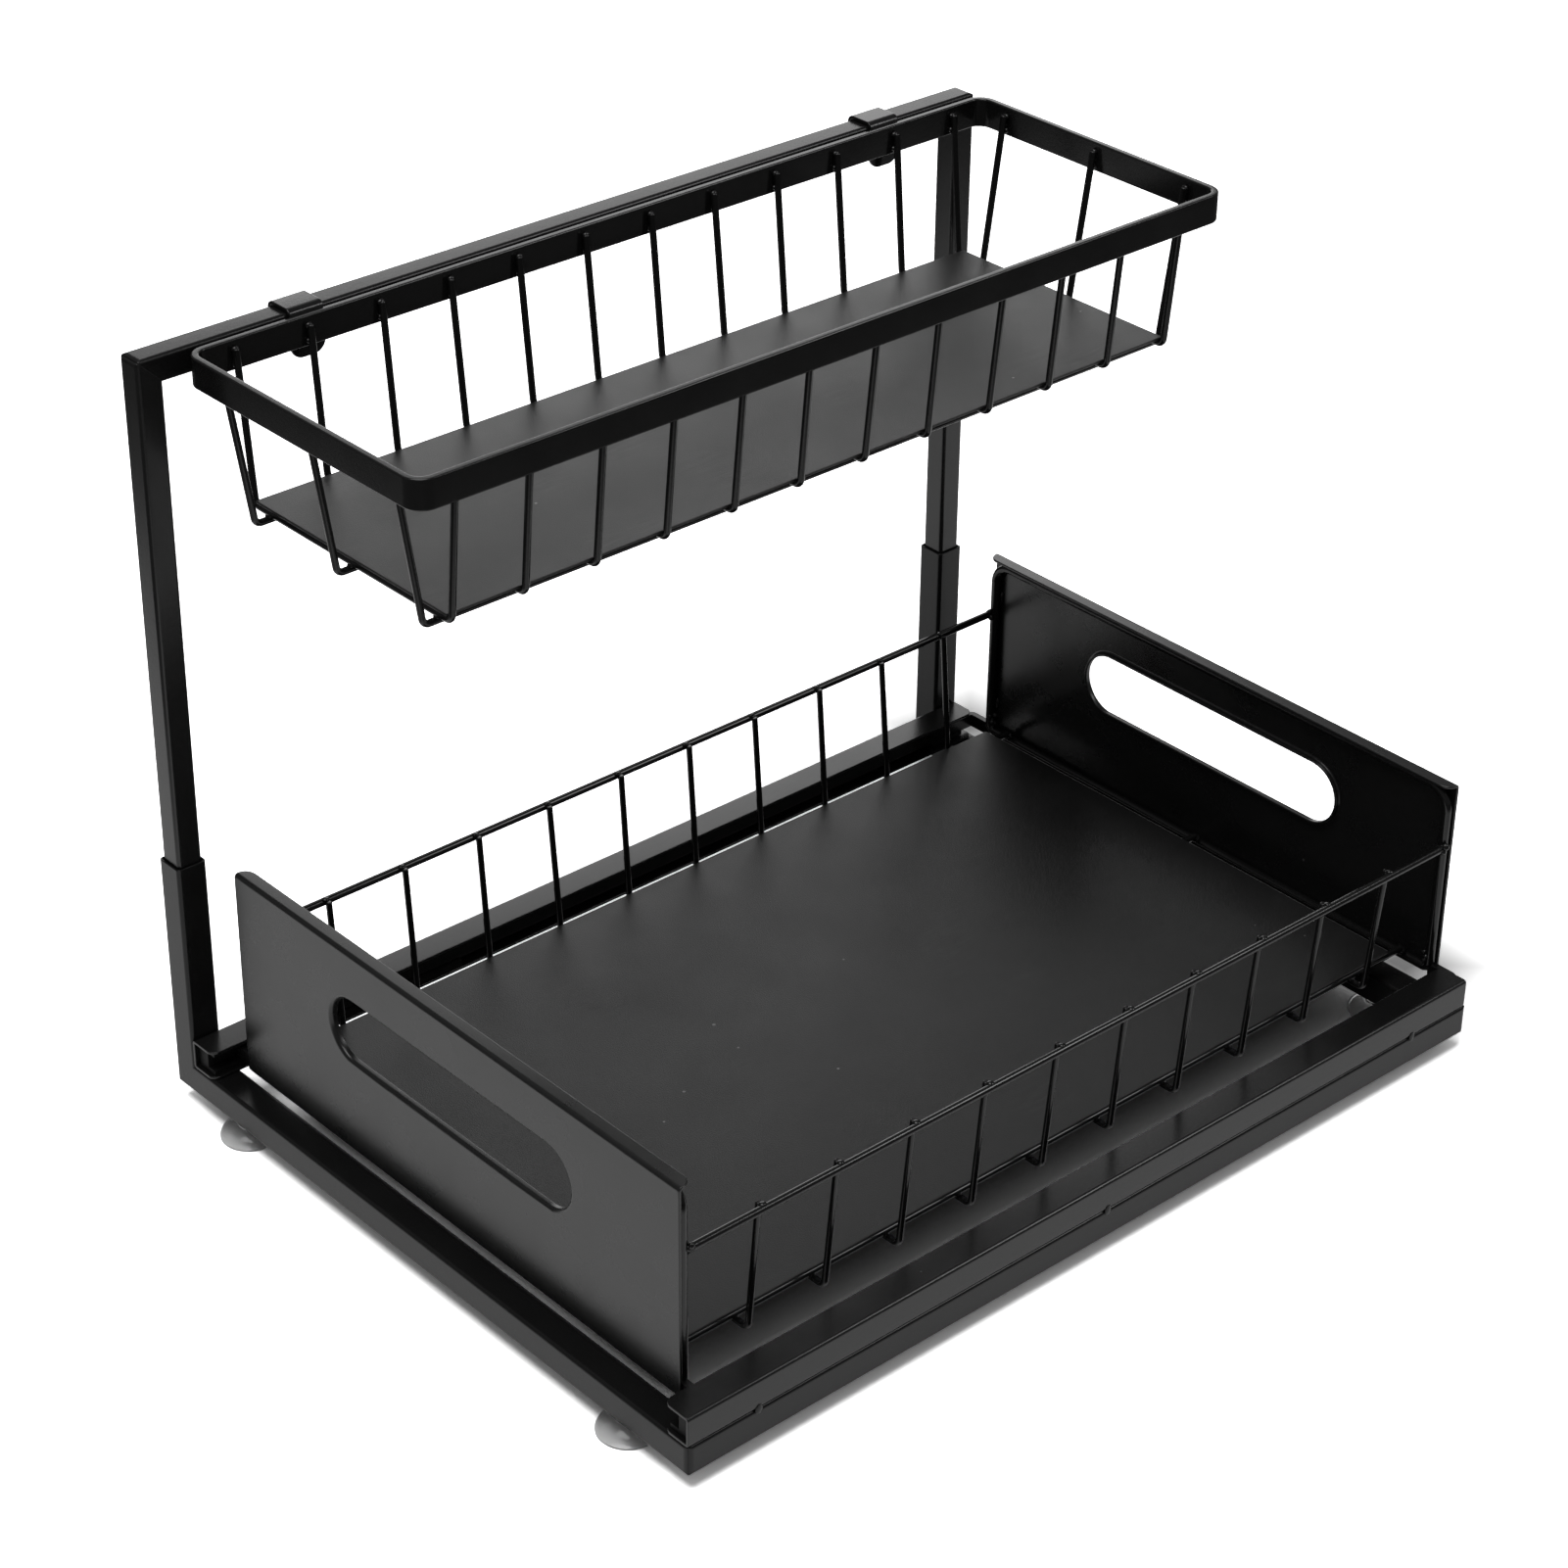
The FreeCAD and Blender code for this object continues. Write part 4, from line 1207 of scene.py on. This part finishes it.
def add_row(skin: Skin, path: Loop, row: Vector, places: Sequence[Vector], luck: random.Random, lean: float,
            radius: float) -> None:
    """Adds a row of U-shaped wires whose legs lean a little along the row, each by itself.

    Args:
        skin: the piece that gets them.
        path: the points along one wire, round zero.
        row: the direction of the row.
        places: the wires' middles.
        luck: the seeded draw.
        lean: the most that a wire's end moves.
        radius: the wires' radius.
    """
    low = min(point.z for point in path)
    high = max(point.z for point in path)
    half = len(path) // 2
    for place in places:
        leans = (luck.uniform(-lean, lean), luck.uniform(-lean, lean))
        leant = [point + row * (leans[index >= half] * (point.z - low) / (high - low))
                 for index, point in enumerate(path)]
        add_wire(skin, [point + place for point in leant], radius)


def even_rows(first: float, last: float, count: int) -> list[float]:
    """Places at an even pitch from the first to the last."""
    pitch = (last - first) / (count - 1)
    return [first + pitch * row for row in range(count)]


def add_plate(skin: Skin, low: Flat, high: Flat, floor: float, sheet: float) -> None:
    """Adds a flat sheet with softly rounded edges.

    Args:
        skin: the piece that gets it.
        low: its lowest corner.
        high: its highest corner.
        floor: the height of its underside.
        sheet: its thickness.
    """
    loops = []
    steps = quarter_round(PLATE_EDGE)
    stations = [(inset, floor + shift) for inset, shift in steps]
    stations += [(inset, floor + sheet - shift) for inset, shift in reversed(steps)]
    for inset, z in stations:
        outline = rounded_outline((low[0] + inset, low[1] + inset), (high[0] - inset, high[1] - inset),
                                  PLATE_CORNER - inset)
        loops.append([Vector((x, y, z)) for x, y in outline])
    skin.loft(loops)


@dataclass
class Drawer(SubAssembly):
    """The pull-out wire drawer with its two slotted end panels."""

    body: ClassVar[Body] = Body.DRAWER
    middle: float = 6.5
    front: float = -192.5
    rear: float = 209.0
    half_width: float = 129.5
    low: float = 23.5
    height: float = 89.7
    sheet: float = 1.2
    corner: float = 2.0
    flange: float = 6.4
    flange_corner: float = 5.0
    fold: float = 1.7
    fold_steps: int = 6
    band_inset: float = 1.25
    band_step: float = 0.3
    slot_half: float = 70.5
    slot_rise: float = 13.5
    slot_middle: float = 54.8
    slot_flat: float = 0.01
    slot_steps: int = 14
    lip: float = 2.0
    lip_bend: float = 1.7
    lip_steps: int = 6
    lip_root: tuple[Flat, ...] = ((1.1, 0.0), (0.45, 0.1), (0.1, 0.45), (0.0, 1.0))
    edge: float = 0.4
    hoop_radius: float = 2.0
    hoop_side: float = 2.4
    hoop_inset: float = 3.2
    hoop_bend: float = 9.0
    hoop_steps: int = 10
    hoop_sides: int = 20
    foot_bend: float = 3.2
    rail_radius: float = 1.6
    rail_inset: float = 1.2
    rail_level: float = 85.0
    rail_sides: int = 18
    floor_radius: float = 1.5
    floor_level: float = 30.8
    floor_reach: float = 113.7
    wire_seed: int = 5
    wire_radius: float = 1.3
    wire_count: int = 10
    wire_start: float = 33.8
    wire_end: float = 30.6
    wire_top: float = 125.4
    wire_foot: float = 117.6
    wire_bend: float = 3.0
    wire_low: float = 28.0
    wire_lean: float = 0.5
    wire_high: float = 86.2
    runner_reach: float = 141.0
    runner_bar: float = 3.0
    runner_height: float = 6.0
    runner_low: float = 23.4
    runner_bend: float = 1.8
    runner_steps: int = 5
    runner_corner: float = 1.2
    lug_overlap: float = 2.6
    plate_half: float = 116.6
    plate_shift: float = 1.8
    plate_end: float = 9.2
    plate_low: float = 32.3
    weld_seed: int = 23
    rail_clump: Clump = Clump(1.35, 7, (1.6, 0.9, 1.8), (0.0, 0.3, 0.0))
    leg_clump: Clump = Clump(1.25, 10, (1.5, 1.4, 3.4), (1.2, 1.6, 8.0))
    leg_beads: tuple[Bead, ...] = (Bead((1.4, 0.9, 3.0), (2.0, 3.7, 16.0)),
                                   Bead((1.4, 0.9, 3.0), (2.0, 3.7, 70.0)))
    rail_bead: Bead = Bead((1.5, 1.5, 0.8), (0.9, 0.0, 1.3))
    floor_end_bead: Bead = Bead((2.0, 1.6, 1.8), (0.0, 0.6, -1.6))
    floor_bead: Bead = Bead((1.5, 1.6, 0.7), (0.0, 0.0, -1.4))

    @property
    def hoop_front(self) -> float:
        """The inner side of the front hoop."""
        return self.front + self.sheet + self.hoop_radius * 2

    @property
    def hoop_rear(self) -> float:
        """The inner side of the rear hoop."""
        return self.rear - self.sheet - self.hoop_radius * 2

    @property
    def wire_rows(self) -> list[float]:
        """The places of the cross wires along the drawer."""
        return even_rows(self.hoop_front + self.wire_start, self.hoop_rear - self.wire_end, self.wire_count)

    @property
    def floor_rows(self) -> list[float]:
        """The places of the floor wires across the drawer."""
        return [self.middle + x for x in (-self.floor_reach, 0.0, self.floor_reach)]

    def build(self) -> None:
        """Builds every piece of the drawer."""
        self.build_panel("front", self.front, 1)
        self.build_panel("rear", self.rear, -1)
        self.build_hoop("front", self.front + self.sheet + self.hoop_radius)
        self.build_hoop("rear", self.rear - self.sheet - self.hoop_radius)
        self.build_wires()
        skin = Skin()
        left = self.middle - self.plate_shift - self.plate_half
        add_plate(skin, (left, self.hoop_front + self.plate_end),
                  (left + self.plate_half * 2, self.hoop_rear - self.plate_end), self.plate_low, self.sheet)
        self.piece("drawer_floor_sheet", skin, FLOOR_COAT, "drawer_floor_plate")
        self.build_welds()
        self.build_runners()
        self.dress(NYLON, "left_runner_shoe", "right_runner_shoe")

    def fold_over(self, x: float, rise: float, depth: float) -> Vector:
        """Bends a point of the flat panel over the fold along its top.

        Args:
            x: the point's place across the panel.
            rise: its place along the flat sheet, up from the lower edge.
            depth: how deep it lies under the outer face.

        Returns:
            Its place across, behind the outer face and above the lower edge.
        """
        start = self.height - self.fold
        past = rise - start
        arc = self.fold * QUARTER
        inner = self.fold - depth
        if past <= 0:
            return Vector((x, depth, rise))
        if past >= arc:
            return Vector((x, self.fold + past - arc, start + inner))
        turn = past / self.fold
        return Vector((x, self.fold - inner * math.cos(turn), start + inner * math.sin(turn)))

    def build_panel(self, name: str, face: float, way: int) -> None:
        """Builds one end panel, folded in along its top and turned in round its handle slot.

        Args:
            name: which end it closes.
            face: the place of its outer face.
            way: 1 where the drawer's inside lies to the rear of it, -1 where it lies to the front.
        """
        low = -self.slot_middle
        bend_start = self.height - self.fold - self.slot_middle
        bend_end = bend_start + self.fold * QUARTER
        high = bend_end + self.flange - self.fold

        def rim(inset: float) -> list[Flat]:
            """The flat panel's outline.

            Args:
                inset: how far it lies inside the panel's edges.

            Returns:
                The points of the outline.
            """
            wide = self.half_width - inset
            lower = rounded_outline((-wide, low + inset), (wide, high), self.corner - inset)
            upper = rounded_outline((-wide, low), (wide, high - inset), self.flange_corner - inset)
            half = len(lower) // 2
            return upper[:half] + lower[half:]

        def band(step: int) -> list[Flat]:
            """An outline that runs along one line of the fold.

            Args:
                step: the line, counted from the start of the fold.

            Returns:
                The points of the outline.
            """
            level = bend_start + (bend_end - bend_start) * step / self.fold_steps
            inset = self.edge * (self.band_inset + self.band_step * (self.fold_steps - step))
            wide = self.half_width - inset
            return [(wide, low + inset), (wide, level), (-wide, level), (-wide, low + inset)]

        def hole(inset: float) -> list[Flat]:
            """The slot's outline, widened by a length."""
            wide, tall = self.slot_half + inset, self.slot_rise + inset
            return rounded_outline((-wide, -tall), (wide, tall), tall - self.slot_flat, self.slot_steps)

        bands = [band(step) for step in range(self.fold_steps + 1)]
        points = rim(0.0) + hole(0.0) + [point for outline in bands for point in outline]
        angles = sorted({round(math.atan2(z, x), 6) for x, z in points})

        def loop(outline: list[Flat], depth: float) -> Loop:
            """An outline at a depth, folded and set in its place."""
            bent = [self.fold_over(x, z + self.slot_middle, depth) for x, z in ray_loop(outline, angles)]
            return [Vector((self.middle + p.x, face + way * p.y, self.low + p.z)) for p in bent]

        steps = quarter_round(self.edge)
        tip = self.sheet + self.lip
        front_bend = quarter_round(self.lip_bend, self.lip_steps)
        loops = [loop(rim(inset), shift) for inset, shift in steps]
        loops += [loop(rim(inset), self.sheet - shift) for inset, shift in reversed(steps)]
        loops += [loop(outline, self.sheet) for outline in reversed(bands)]
        loops += [loop(hole(self.sheet + away), self.sheet + back) for away, back in self.lip_root]
        loops += [loop(hole(self.sheet - inset), tip - shift) for inset, shift in reversed(steps)]
        loops += [loop(hole(inset), tip - shift) for inset, shift in steps]
        loops += [loop(hole(inset), shift) for inset, shift in reversed(front_bend)]
        loops += [loop(outline, 0.0) for outline in bands]
        skin = Skin()
        skin.loft(loops, closed=True)
        self.piece(f"{name}_panel_sheet", skin, PANEL_COAT, f"drawer_{name}_panel")

    def build_hoop(self, name: str, y: float) -> None:
        """Builds the bent rod behind a panel.

        Args:
            name: which panel it stiffens.
            y: the place of the rod's middle.
        """
        wide = self.half_width - self.hoop_side
        low = self.low + self.hoop_inset
        high = self.low + self.height - self.hoop_inset
        corners = [Vector((self.middle + x, y, z))
                   for x, z in ((-wide, low), (wide, low), (wide, high), (-wide, high))]
        bends = (self.foot_bend, self.foot_bend, self.hoop_bend, self.hoop_bend)
        path = bent_path(corners, bends, self.hoop_steps, closed=True)
        skin = Skin()
        add_wire(skin, path, self.hoop_radius, closed=True, sides=self.hoop_sides)
        self.piece(f"{name}_hoop", skin, WIRE_COAT, f"{name}_panel_hoop")

    def build_wires(self) -> None:
        """Builds the side rails, the floor wires and the cross wires."""
        ends = (self.hoop_front, self.hoop_rear)
        for name, way in SIDES:
            skin = Skin()
            x = self.middle + way * (self.half_width - self.rail_inset)
            path = [Vector((x, y, self.rail_level)) for y in ends]
            add_wire(skin, path, self.rail_radius, sides=self.rail_sides)
            self.piece(f"{name}_rail_wire", skin, WIRE_COAT, f"drawer_{name}_top_wire")
        skin = Skin()
        for x in self.floor_rows:
            add_wire(skin, [Vector((x, y, self.floor_level)) for y in ends], self.floor_radius)
        self.piece("floor_wires", skin, WIRE_COAT, "drawer_floor_wires")
        skin = Skin()
        path = trough_path(self.wire_top, self.wire_high, self.wire_foot, self.wire_low, self.wire_bend, EAST)
        places = [Vector((self.middle, y, 0)) for y in self.wire_rows]
        add_row(skin, path, NORTH, places, random.Random(self.wire_seed), self.wire_lean, self.wire_radius)
        self.piece("cross_wires", skin, WIRE_COAT, "drawer_cross_wires")

    def build_runners(self) -> None:
        """Builds the flat bars that run in the channels, bent in behind the panels."""
        half = self.runner_bar / 2
        front, rear = self.front + self.sheet + half, self.rear - self.sheet - half
        for name, way in SIDES:
            side = self.middle + way * (self.runner_reach - half)
            lug = self.middle + way * (self.half_width - self.lug_overlap)

            def outline(back: float, side: float = side, lug: float = lug, way: int = way) -> Loop:
                """The bar's middle line in plan.

                Args:
                    back: how far its ends are drawn back.
                    side: the place of its long run.
                    lug: the place of its ends.
                    way: the side of the drawer.

                Returns:
                    The points along it.
                """
                tip = lug + way * (back + STRIP_EDGE)
                corners = ((tip, front), (side, front), (side, rear), (tip, rear))
                return bent_path([Vector((x, y, 0)) for x, y in corners], self.runner_bend, self.runner_steps)

            skin = Skin()
            add_strip(skin, outline, Vector((0, 0, self.runner_low)), UP, self.runner_height, self.runner_bar,
                      self.runner_corner)
            self.piece(f"{name}_runner_bar", skin, TUBE_COAT, f"{name}_drawer_runner")

    def build_welds(self) -> None:
        """Builds the weld beads of the drawer."""
        skin = Skin()
        welder = Welder(skin, self.weld_seed)
        ends = ((self.hoop_front, 1), (self.hoop_rear, -1))
        for _, way in SIDES:
            x = self.middle + way * (self.half_width - self.rail_inset)
            leg = self.middle + way * (self.half_width - self.hoop_side)
            for y, back in ends:
                welder.clump((x, y, self.rail_level), self.rail_clump, along=back)
                welder.clump((leg, y, self.low), self.leg_clump, -way, -back)
                for bead in self.leg_beads:
                    welder.bead((leg, y, self.low), bead, -way, -back)
            for y in self.wire_rows:
                welder.bead((x, y, self.rail_level), self.rail_bead, across=-way)
        for x in self.floor_rows:
            for y, back in ends:
                welder.bead((x, y, self.floor_level), self.floor_end_bead, along=-back)
            for y in self.wire_rows:
                welder.bead((x, y, self.floor_level), self.floor_bead)
        self.piece("drawer_welds", skin, WIRE_COAT)


@dataclass
class Basket(SubAssembly):
    """The wire basket with its flat rim and the two hooks that hang it."""

    body: ClassVar[Body] = Body.BASKET
    middle_x: float = -72.9
    middle_y: float = 10.0
    half_width: float = 68.5
    half_length: float = 196.0
    rim_top: float = 319.0
    rim_height: float = 12.0
    rim_bar: float = 3.0
    rim_corner: float = 8.0
    rim_steps: int = 10
    rim_edge: float = 0.7
    rim_edge_steps: int = 4
    wire_seed: int = 7
    wire_radius: float = 1.4
    wire_count: int = 12
    wire_end: float = 20.0
    wire_high: float = 316.0
    cross_top: float = 64.1
    cross_foot: float = 55.6
    cross_low: float = 256.3
    long_count: int = 3
    long_side: float = 18.5
    long_top: float = 191.6
    long_foot: float = 179.6
    long_low: float = 253.5
    bend: float = 3.0
    wire_lean: float = 0.6
    plate_half: float = 56.8
    plate_half_length: float = 177.2
    plate_low: float = 257.7
    plate_sheet: float = 1.2
    hook_sheet: float = 1.5
    hook_width: float = 15.0
    hook_inset: float = 54.0
    hook_outer: float = -154.85
    hook_inner: float = -142.15
    hook_top: float = 320.45
    hook_lip: float = 309.5
    hook_tongue: float = 301.5
    hook_bend: float = 2.2
    hook_corner: float = 5.0
    weld_seed: int = 37
    side_top_bead: Bead = Bead((1.2, 1.7, 1.1), (0.6, 0.0, -0.4))
    side_foot_bead: Bead = Bead((1.2, 1.8, 1.2), (0.6, 0.0, 2.6))
    end_top_bead: Bead = Bead((1.7, 1.2, 1.1), (0.0, 0.6, -0.4))
    end_foot_bead: Bead = Bead((1.8, 1.2, 1.2), (0.0, 0.6, 2.6))
    crossing_bead: Bead = Bead((1.6, 1.6, 0.9))

    @property
    def cross_rows(self) -> list[float]:
        """The places of the cross wires along the basket."""
        reach = self.half_length - self.wire_end
        return even_rows(self.middle_y - reach, self.middle_y + reach, self.wire_count)

    @property
    def long_rows(self) -> list[float]:
        """The places of the long wires across the basket."""
        reach = self.half_width - self.long_side
        return even_rows(self.middle_x - reach, self.middle_x + reach, self.long_count)

    def build(self) -> None:
        """Builds every piece of the basket."""
        self.build_rim()
        self.build_wires()
        skin = Skin()
        add_plate(skin, (self.middle_x - self.plate_half, self.middle_y - self.plate_half_length),
                  (self.middle_x + self.plate_half, self.middle_y + self.plate_half_length),
                  self.plate_low, self.plate_sheet)
        self.piece("basket_floor_sheet", skin, BASKET_COAT, "basket_floor_plate")
        self.build_hooks()
        self.build_welds()

    def build_rim(self) -> None:
        """Builds the flat bar bent round the basket's top."""
        half, tall = self.rim_bar / 2, self.rim_height / 2
        wide, long = self.half_width - half, self.half_length - half
        corners = [Vector((self.middle_x + x, self.middle_y + y, self.rim_top - tall))
                   for x, y in ((-wide, -long), (wide, -long), (wide, long), (-wide, long))]
        path = bent_path(corners, self.rim_corner - half, self.rim_steps, closed=True)
        section = rounded_outline((-half, -tall), (half, tall), self.rim_edge, self.rim_edge_steps)
        loops = []
        for point, heading in zip(path, tangents(path, True)):
            outward = heading.cross(UP)
            loops.append([point + outward * across + UP * rise for across, rise in section])
        skin = Skin()
        skin.loft(loops, closed=True)
        self.piece("rim_bar", skin, RIM_COAT, "basket_rim")

    def build_wires(self) -> None:
        """Builds the cross wires and the long wires."""
        luck = random.Random(self.wire_seed)
        skin = Skin()
        path = trough_path(self.cross_top, self.wire_high, self.cross_foot, self.cross_low, self.bend, EAST)
        places = [Vector((self.middle_x, y, 0)) for y in self.cross_rows]
        add_row(skin, path, NORTH, places, luck, self.wire_lean, self.wire_radius)
        self.piece("basket_ribs", skin, WIRE_COAT, "basket_cross_wires")
        skin = Skin()
        path = trough_path(self.long_top, self.wire_high, self.long_foot, self.long_low, self.bend, NORTH)
        places = [Vector((x, self.middle_y, 0)) for x in self.long_rows]
        add_row(skin, path, EAST, places, luck, self.wire_lean, self.wire_radius)
        self.piece("basket_stringers", skin, WIRE_COAT, "basket_long_wires")

    def build_hooks(self) -> None:
        """Builds the folded hooks that sit on the crossbar."""

        def outline(back: float) -> Loop:
            """The hook's section.

            Args:
                back: how far its legs are drawn back.

            Returns:
                The points along the middle of its sheet.
            """
            lip, tongue = (end + back + STRIP_EDGE for end in (self.hook_lip, self.hook_tongue))
            corners = ((self.hook_outer, lip), (self.hook_outer, self.hook_top),
                       (self.hook_inner, self.hook_top), (self.hook_inner, tongue))
            return bent_path([Vector((x, 0, z)) for x, z in corners], self.hook_bend)

        reach = self.half_length - self.hook_inset
        for name, way in ENDS:
            skin = Skin()
            start = Vector((0, self.middle_y + way * reach - self.hook_width / 2, 0))
            add_strip(skin, outline, start, NORTH, self.hook_width, self.hook_sheet, self.hook_corner)
            self.piece(f"{name}_hook_strip", skin, RIM_COAT, f"basket_{name}_hook")

    def build_welds(self) -> None:
        """Builds the weld beads of the basket."""
        skin = Skin()
        welder = Welder(skin, self.weld_seed)
        foot = self.rim_top - self.rim_height
        for y in self.cross_rows:
            for _, way in SIDES:
                x = self.middle_x + way * self.cross_top
                welder.bead((x, y, self.wire_high), self.side_top_bead, across=way)
                welder.bead((x, y, foot), self.side_foot_bead, across=way)
            for x in self.long_rows:
                welder.bead((x, y, self.long_low + self.wire_radius), self.crossing_bead)
        for x in self.long_rows:
            for _, way in ENDS:
                y = self.middle_y + way * self.long_top
                welder.bead((x, y, self.wire_high), self.end_top_bead, along=way)
                welder.bead((x, y, foot), self.end_foot_bead, along=way)
        self.piece("basket_welds", skin, WIRE_COAT)


# Studio


@dataclass(frozen=True)
class Lamp:
    """A softbox that faces a place, with its side in metres and its power in watts.

    A glint lamp only shows in the shine of the coat.
    """

    name: str
    place: Triple
    target: Triple
    side: float
    power: float
    glint: bool = False

    def build(self) -> None:
        """Builds the lamp."""
        data = bpy.data.lights.new(self.name, "AREA")
        data.size = self.side
        data.energy = self.power
        lamp = bpy.data.objects.new(self.name, data)
        lamp.location = self.place
        lamp.visible_diffuse = not self.glint
        lamp.rotation_euler = (Vector(self.target) - Vector(self.place)).to_track_quat("-Z", "Y").to_euler()
        bpy.context.scene.collection.objects.link(lamp)


@dataclass
class Studio:
    """The plain white set, its lamps and the camera, in metres."""

    camera_place: Triple = (0.9192, -0.8501, 0.8840)
    azimuth: float = 48.106
    elevation: float = 30.963
    roll: float = 0.634
    lens: float = 87.88
    sensor: float = 36.0
    sight: Flat = (0.05, 60.0)
    floor_half: float = 15.0
    floor_level: float = -0.0003
    floor_bounce: float = 0.75
    floor_white: float = 4.2
    floor_far: float = 5.0
    painted_shadow_floor: float = 0.65
    near: float = 0.45
    far: float = 1.3
    # Floor areas under the object whose colour is darkened as a painted shadow, in view and in the shine.
    under: tuple[Area, ...] = (((-0.122, -0.190), (0.118, 0.195)), ((-0.188, 0.206), (-0.134, 0.260)),
                               ((0.070, 0.206), (0.128, 0.262)))
    painted_shadow_soft: float = 0.025
    sheet: Area = ((-0.58, -0.44), (0.34, 0.66))
    sheet_soft: float = 0.09
    sheet_white: float = 1.5
    floor_glass: float = 3.4
    room_floor: float = 0.15
    room: float = 0.15
    far_off: float = 1000.0
    lamps: tuple[Lamp, ...] = (
        Lamp("rear_left_screen", (-1.2, 0.84, 0.475), (0.0, 0.0, 0.475), 0.95, 4.8, glint=True),
        Lamp("rear_left_haze", (-1.35, 1.05, 1.5), (0.0, 0.0, 0.1), 1.1, 2.2, glint=True),
        Lamp("rear_right_glint", (0.85, 0.95, 1.2), (0.0, 0.0, 0.1), 0.5, 5.0, glint=True),
        Lamp("top_softbox", (0.1, -0.45, 2.2), (0.0, 0.0, 0.1), 1.5, 27.0))

    def build(self) -> None:
        """Builds the set."""
        bpy.context.scene.view_settings.view_transform = "Standard"
        self.build_floor()
        self.build_world()
        for lamp in self.lamps:
            lamp.build()
        self.build_camera()

    def outside(self, graph: Graph, place: Socket, soft: float, *areas: Area) -> Socket:
        """A mask round some areas of the floor.

        Args:
            graph: the material's graph.
            place: the place on the floor.
            soft: half the width of the areas' soft edges.
            areas: the areas' lowest and highest corners.

        Returns:
            0 inside the areas and 1 outside.
        """
        axes = graph.add("ShaderNodeSeparateXYZ", {0: place}).outputs
        nearest: object = self.far_off
        for low, high in areas:
            past = []
            for axis, start, stop in zip(axes, low, high):
                off = graph.sums("SUBTRACT", axis, (start + stop) / 2)
                past.append(graph.sums("SUBTRACT", graph.sums("ABSOLUTE", off), (stop - start) / 2))
            nearest = graph.sums("MINIMUM", graph.sums("MAXIMUM", *past), nearest)
        return graph.span(nearest, -soft, soft)

    def floor_colour(self, graph: Graph) -> Socket:
        """The floor's colour for each kind of ray.

        Args:
            graph: the material's graph.

        Returns:
            The colour's socket: white in view and in the shine near the object, with a painted shadow under
            it.
        """
        path = graph.add("ShaderNodeLightPath").outputs
        place = graph.add("ShaderNodeNewGeometry").outputs["Position"]
        away = graph.add("ShaderNodeVectorMath", {0: place}, operation="LENGTH").outputs["Value"]
        # Painted shadow: clear is 0 in the areas under the object, where the floor's colour is dimmed.
        clear = self.outside(graph, place, self.painted_shadow_soft, *self.under)
        rising = graph.tint(graph.span(away, self.near, self.far), grey(self.floor_white),
                            grey(self.floor_far))
        in_view = graph.tint(clear, grey(self.painted_shadow_floor), rising)
        ends = self.outside(graph, place, self.sheet_soft, self.sheet)
        lit = graph.tint(ends, grey(self.sheet_white), grey(self.room_floor))
        in_shine = graph.tint(clear, grey(self.painted_shadow_floor), lit)
        in_glass = graph.tint(path["Is Transmission Ray"], grey(self.floor_bounce), grey(self.floor_glass))
        unseen = graph.tint(path["Is Glossy Ray"], in_glass, in_shine)
        return graph.tint(path["Is Camera Ray"], unseen, in_view)

    def build_floor(self) -> None:
        """Builds the pale floor, which keeps the object's soft shadow and a painted shadow under it."""
        reach = self.floor_half
        corners = [(x, y, self.floor_level)
                   for x, y in ((-reach, -reach), (reach, -reach), (reach, reach), (-reach, reach))]
        mesh = bpy.data.meshes.new("studio_floor")
        mesh.from_pydata(corners, [], [(0, 1, 2, 3)])
        floor = bpy.data.objects.new("studio_floor", mesh)
        bpy.context.scene.collection.objects.link(floor)
        made, graph = new_material("studio_white")
        graph.surface("ShaderNodeBsdfDiffuse", {"Color": self.floor_colour(graph)})
        mesh.materials.append(made)

    def build_world(self) -> None:
        """Builds the grey room round the set; the camera sees only the floor."""
        world = bpy.data.worlds.new("studio_world")
        bpy.context.scene.world = world
        world.use_nodes = True
        graph = Graph(world.node_tree)
        room = graph.add("ShaderNodeBackground", {"Color": grey(self.room), "Strength": 1.0})
        graph.add("ShaderNodeOutputWorld", {"Surface": room.outputs[0]})

    def build_camera(self) -> None:
        """Builds the camera at the photograph's place."""
        turn, rise, roll = (math.radians(angle) for angle in (self.azimuth, self.elevation, self.roll))
        right = Vector((math.cos(turn), math.sin(turn), 0))
        back = Vector((math.sin(turn) * math.cos(rise), -math.cos(turn) * math.cos(rise), math.sin(rise)))
        up = back.cross(right)
        rolled_right = right * math.cos(roll) + up * math.sin(roll)
        rolled_up = up * math.cos(roll) - right * math.sin(roll)
        data = bpy.data.cameras.new("camera")
        data.lens = self.lens
        data.sensor_width = self.sensor
        data.clip_start, data.clip_end = self.sight
        camera = bpy.data.objects.new("camera", data)
        turned = Matrix((rolled_right, rolled_up, back)).transposed().to_4x4()
        camera.matrix_world = Matrix.Translation(self.camera_place) @ turned
        bpy.context.scene.collection.objects.link(camera)
        bpy.context.scene.camera = camera


def main() -> None:
    """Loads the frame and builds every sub-assembly around it."""
    logging.basicConfig(level=logging.INFO, format="%(name)s: %(message)s")
    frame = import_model()
    shop = Shop(frame)
    for part in (BaseFrame, UpperFrame, Drawer, Basket):
        part(shop).build()
    Studio().build()


if __name__ == "__main__":
    main()
